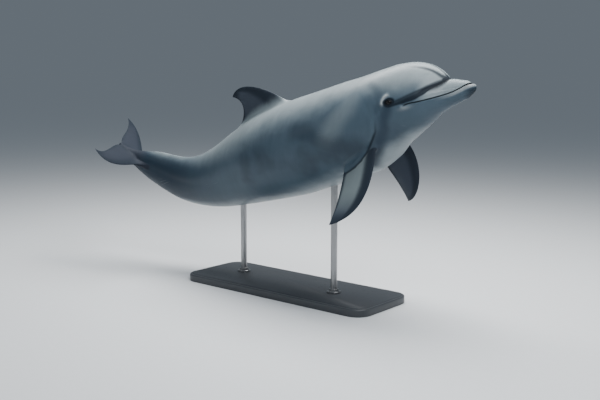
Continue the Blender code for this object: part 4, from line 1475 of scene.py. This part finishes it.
# %% Floor
FLOOR_REACH = 60.0


def make_floor():
    f = Finish("pale_floor")
    speck = f.noise(30.0, 4.0, 0.6)
    f.set(Base_Color=f.blend((0.60, 0.62, 0.64, 1), (0.64, 0.66, 0.68, 1), speck), Roughness=1.0,
          Specular_IOR_Level=0.0)
    corners = [(x * FLOOR_REACH, y * FLOOR_REACH, 0) for x, y in ((-1, -1), (1, -1), (1, 1), (-1, 1))]
    new_piece("floor", corners, [(0, 1, 2, 3)], f.material, smooth=False)


make_floor()
print("floor at z = 0")


# %% Lamps
def soft_lamp(name, place, target, size, power, colour):
    lamp = bpy.data.lights.new(name, "AREA")
    lamp.shape, lamp.size, lamp.size_y = "RECTANGLE", *size
    lamp.energy, lamp.color = power, colour
    holder = bpy.data.objects.new(name, lamp)
    bpy.context.scene.collection.objects.link(holder)
    holder.location = place
    holder.rotation_euler = (Vector(target) - Vector(place)).to_track_quat("-Z", "Y").to_euler()


soft_lamp("overhead", (-0.1, 0.7, 3.6), (-0.1, 0, 0.9), (4.0, 1.8), 300, (1.0, 0.995, 0.98))
soft_lamp("bow", (2.6, -1.2, 3.4), (0.7, 0, 1.0), (1.6, 1.4), 115, (0.97, 0.985, 1.0))
soft_lamp("fill", (-2.4, -4.2, 2.0), (-0.3, 0, 0.8), (2.4, 2.0), 26, (0.90, 0.96, 1.0))
print("three soft lamps")

# %% The world
WORLD_STRENGTH = 0.32
DAYLIGHT = (0.66, 0.76, 0.86)
BACKDROP = (0.62, 0.64, 0.66)     # the part of it that the camera sees


def make_world():
    """A pale surround. The camera sees it as dim as the far floor, so that no horizon shows."""
    world = bpy.data.worlds.new("studio")
    world.use_nodes = True
    tree = world.node_tree
    seen, felt = tree.nodes["Background"], tree.nodes.new("ShaderNodeBackground")
    path, mix = tree.nodes.new("ShaderNodeLightPath"), tree.nodes.new("ShaderNodeMixShader")
    felt.inputs["Color"].default_value = (*DAYLIGHT, 1)
    seen.inputs["Color"].default_value = (*(a * b for a, b in zip(DAYLIGHT, BACKDROP)), 1)
    for shader in (felt, seen):
        shader.inputs["Strength"].default_value = WORLD_STRENGTH
    tree.links.new(path.outputs["Is Camera Ray"], mix.inputs[0])
    tree.links.new(felt.outputs[0], mix.inputs[1])
    tree.links.new(seen.outputs[0], mix.inputs[2])
    tree.links.new(mix.outputs[0], tree.nodes["World Output"].inputs["Surface"])
    bpy.context.scene.world = world


make_world()
print("a pale world of strength", WORLD_STRENGTH)

# %% [markdown]
# ## What stands for what
#
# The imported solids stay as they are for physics. For looks, the one skin stands for all the solid
# lengths of flesh, and the finer stand parts for the plain ones.

# %% Pieces and their solids
FLESH = ["head", "neck", "chest", "trunk", "loin", "tail_stock", "tail_end", "melon", "upper_jaw",
         "lower_jaw", "dorsal_fin", "flipper_left", "flipper_right", "fluke_left", "fluke_right"]
stands_for = {hide: (FLESH, "grey_side"), plate: (["stand_base"], "painted_base")}
for side, ball in eyeballs.items():
    stands_for[ball] = (["eye_" + side], "dark_eye")
for word in rods:
    stands_for[rods[word]] = (["stand_rod_" + word], "brushed_steel")
    stands_for[collars[word]] = (["stand_collar_" + word], "brushed_steel")
    stands_for[screws[word]] = ([], "brushed_steel")
for piece, (solids, slot) in stands_for.items():
    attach(piece, "root")
    if solids:
        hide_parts(*solids)
print(len(stands_for), "pieces ride on the root")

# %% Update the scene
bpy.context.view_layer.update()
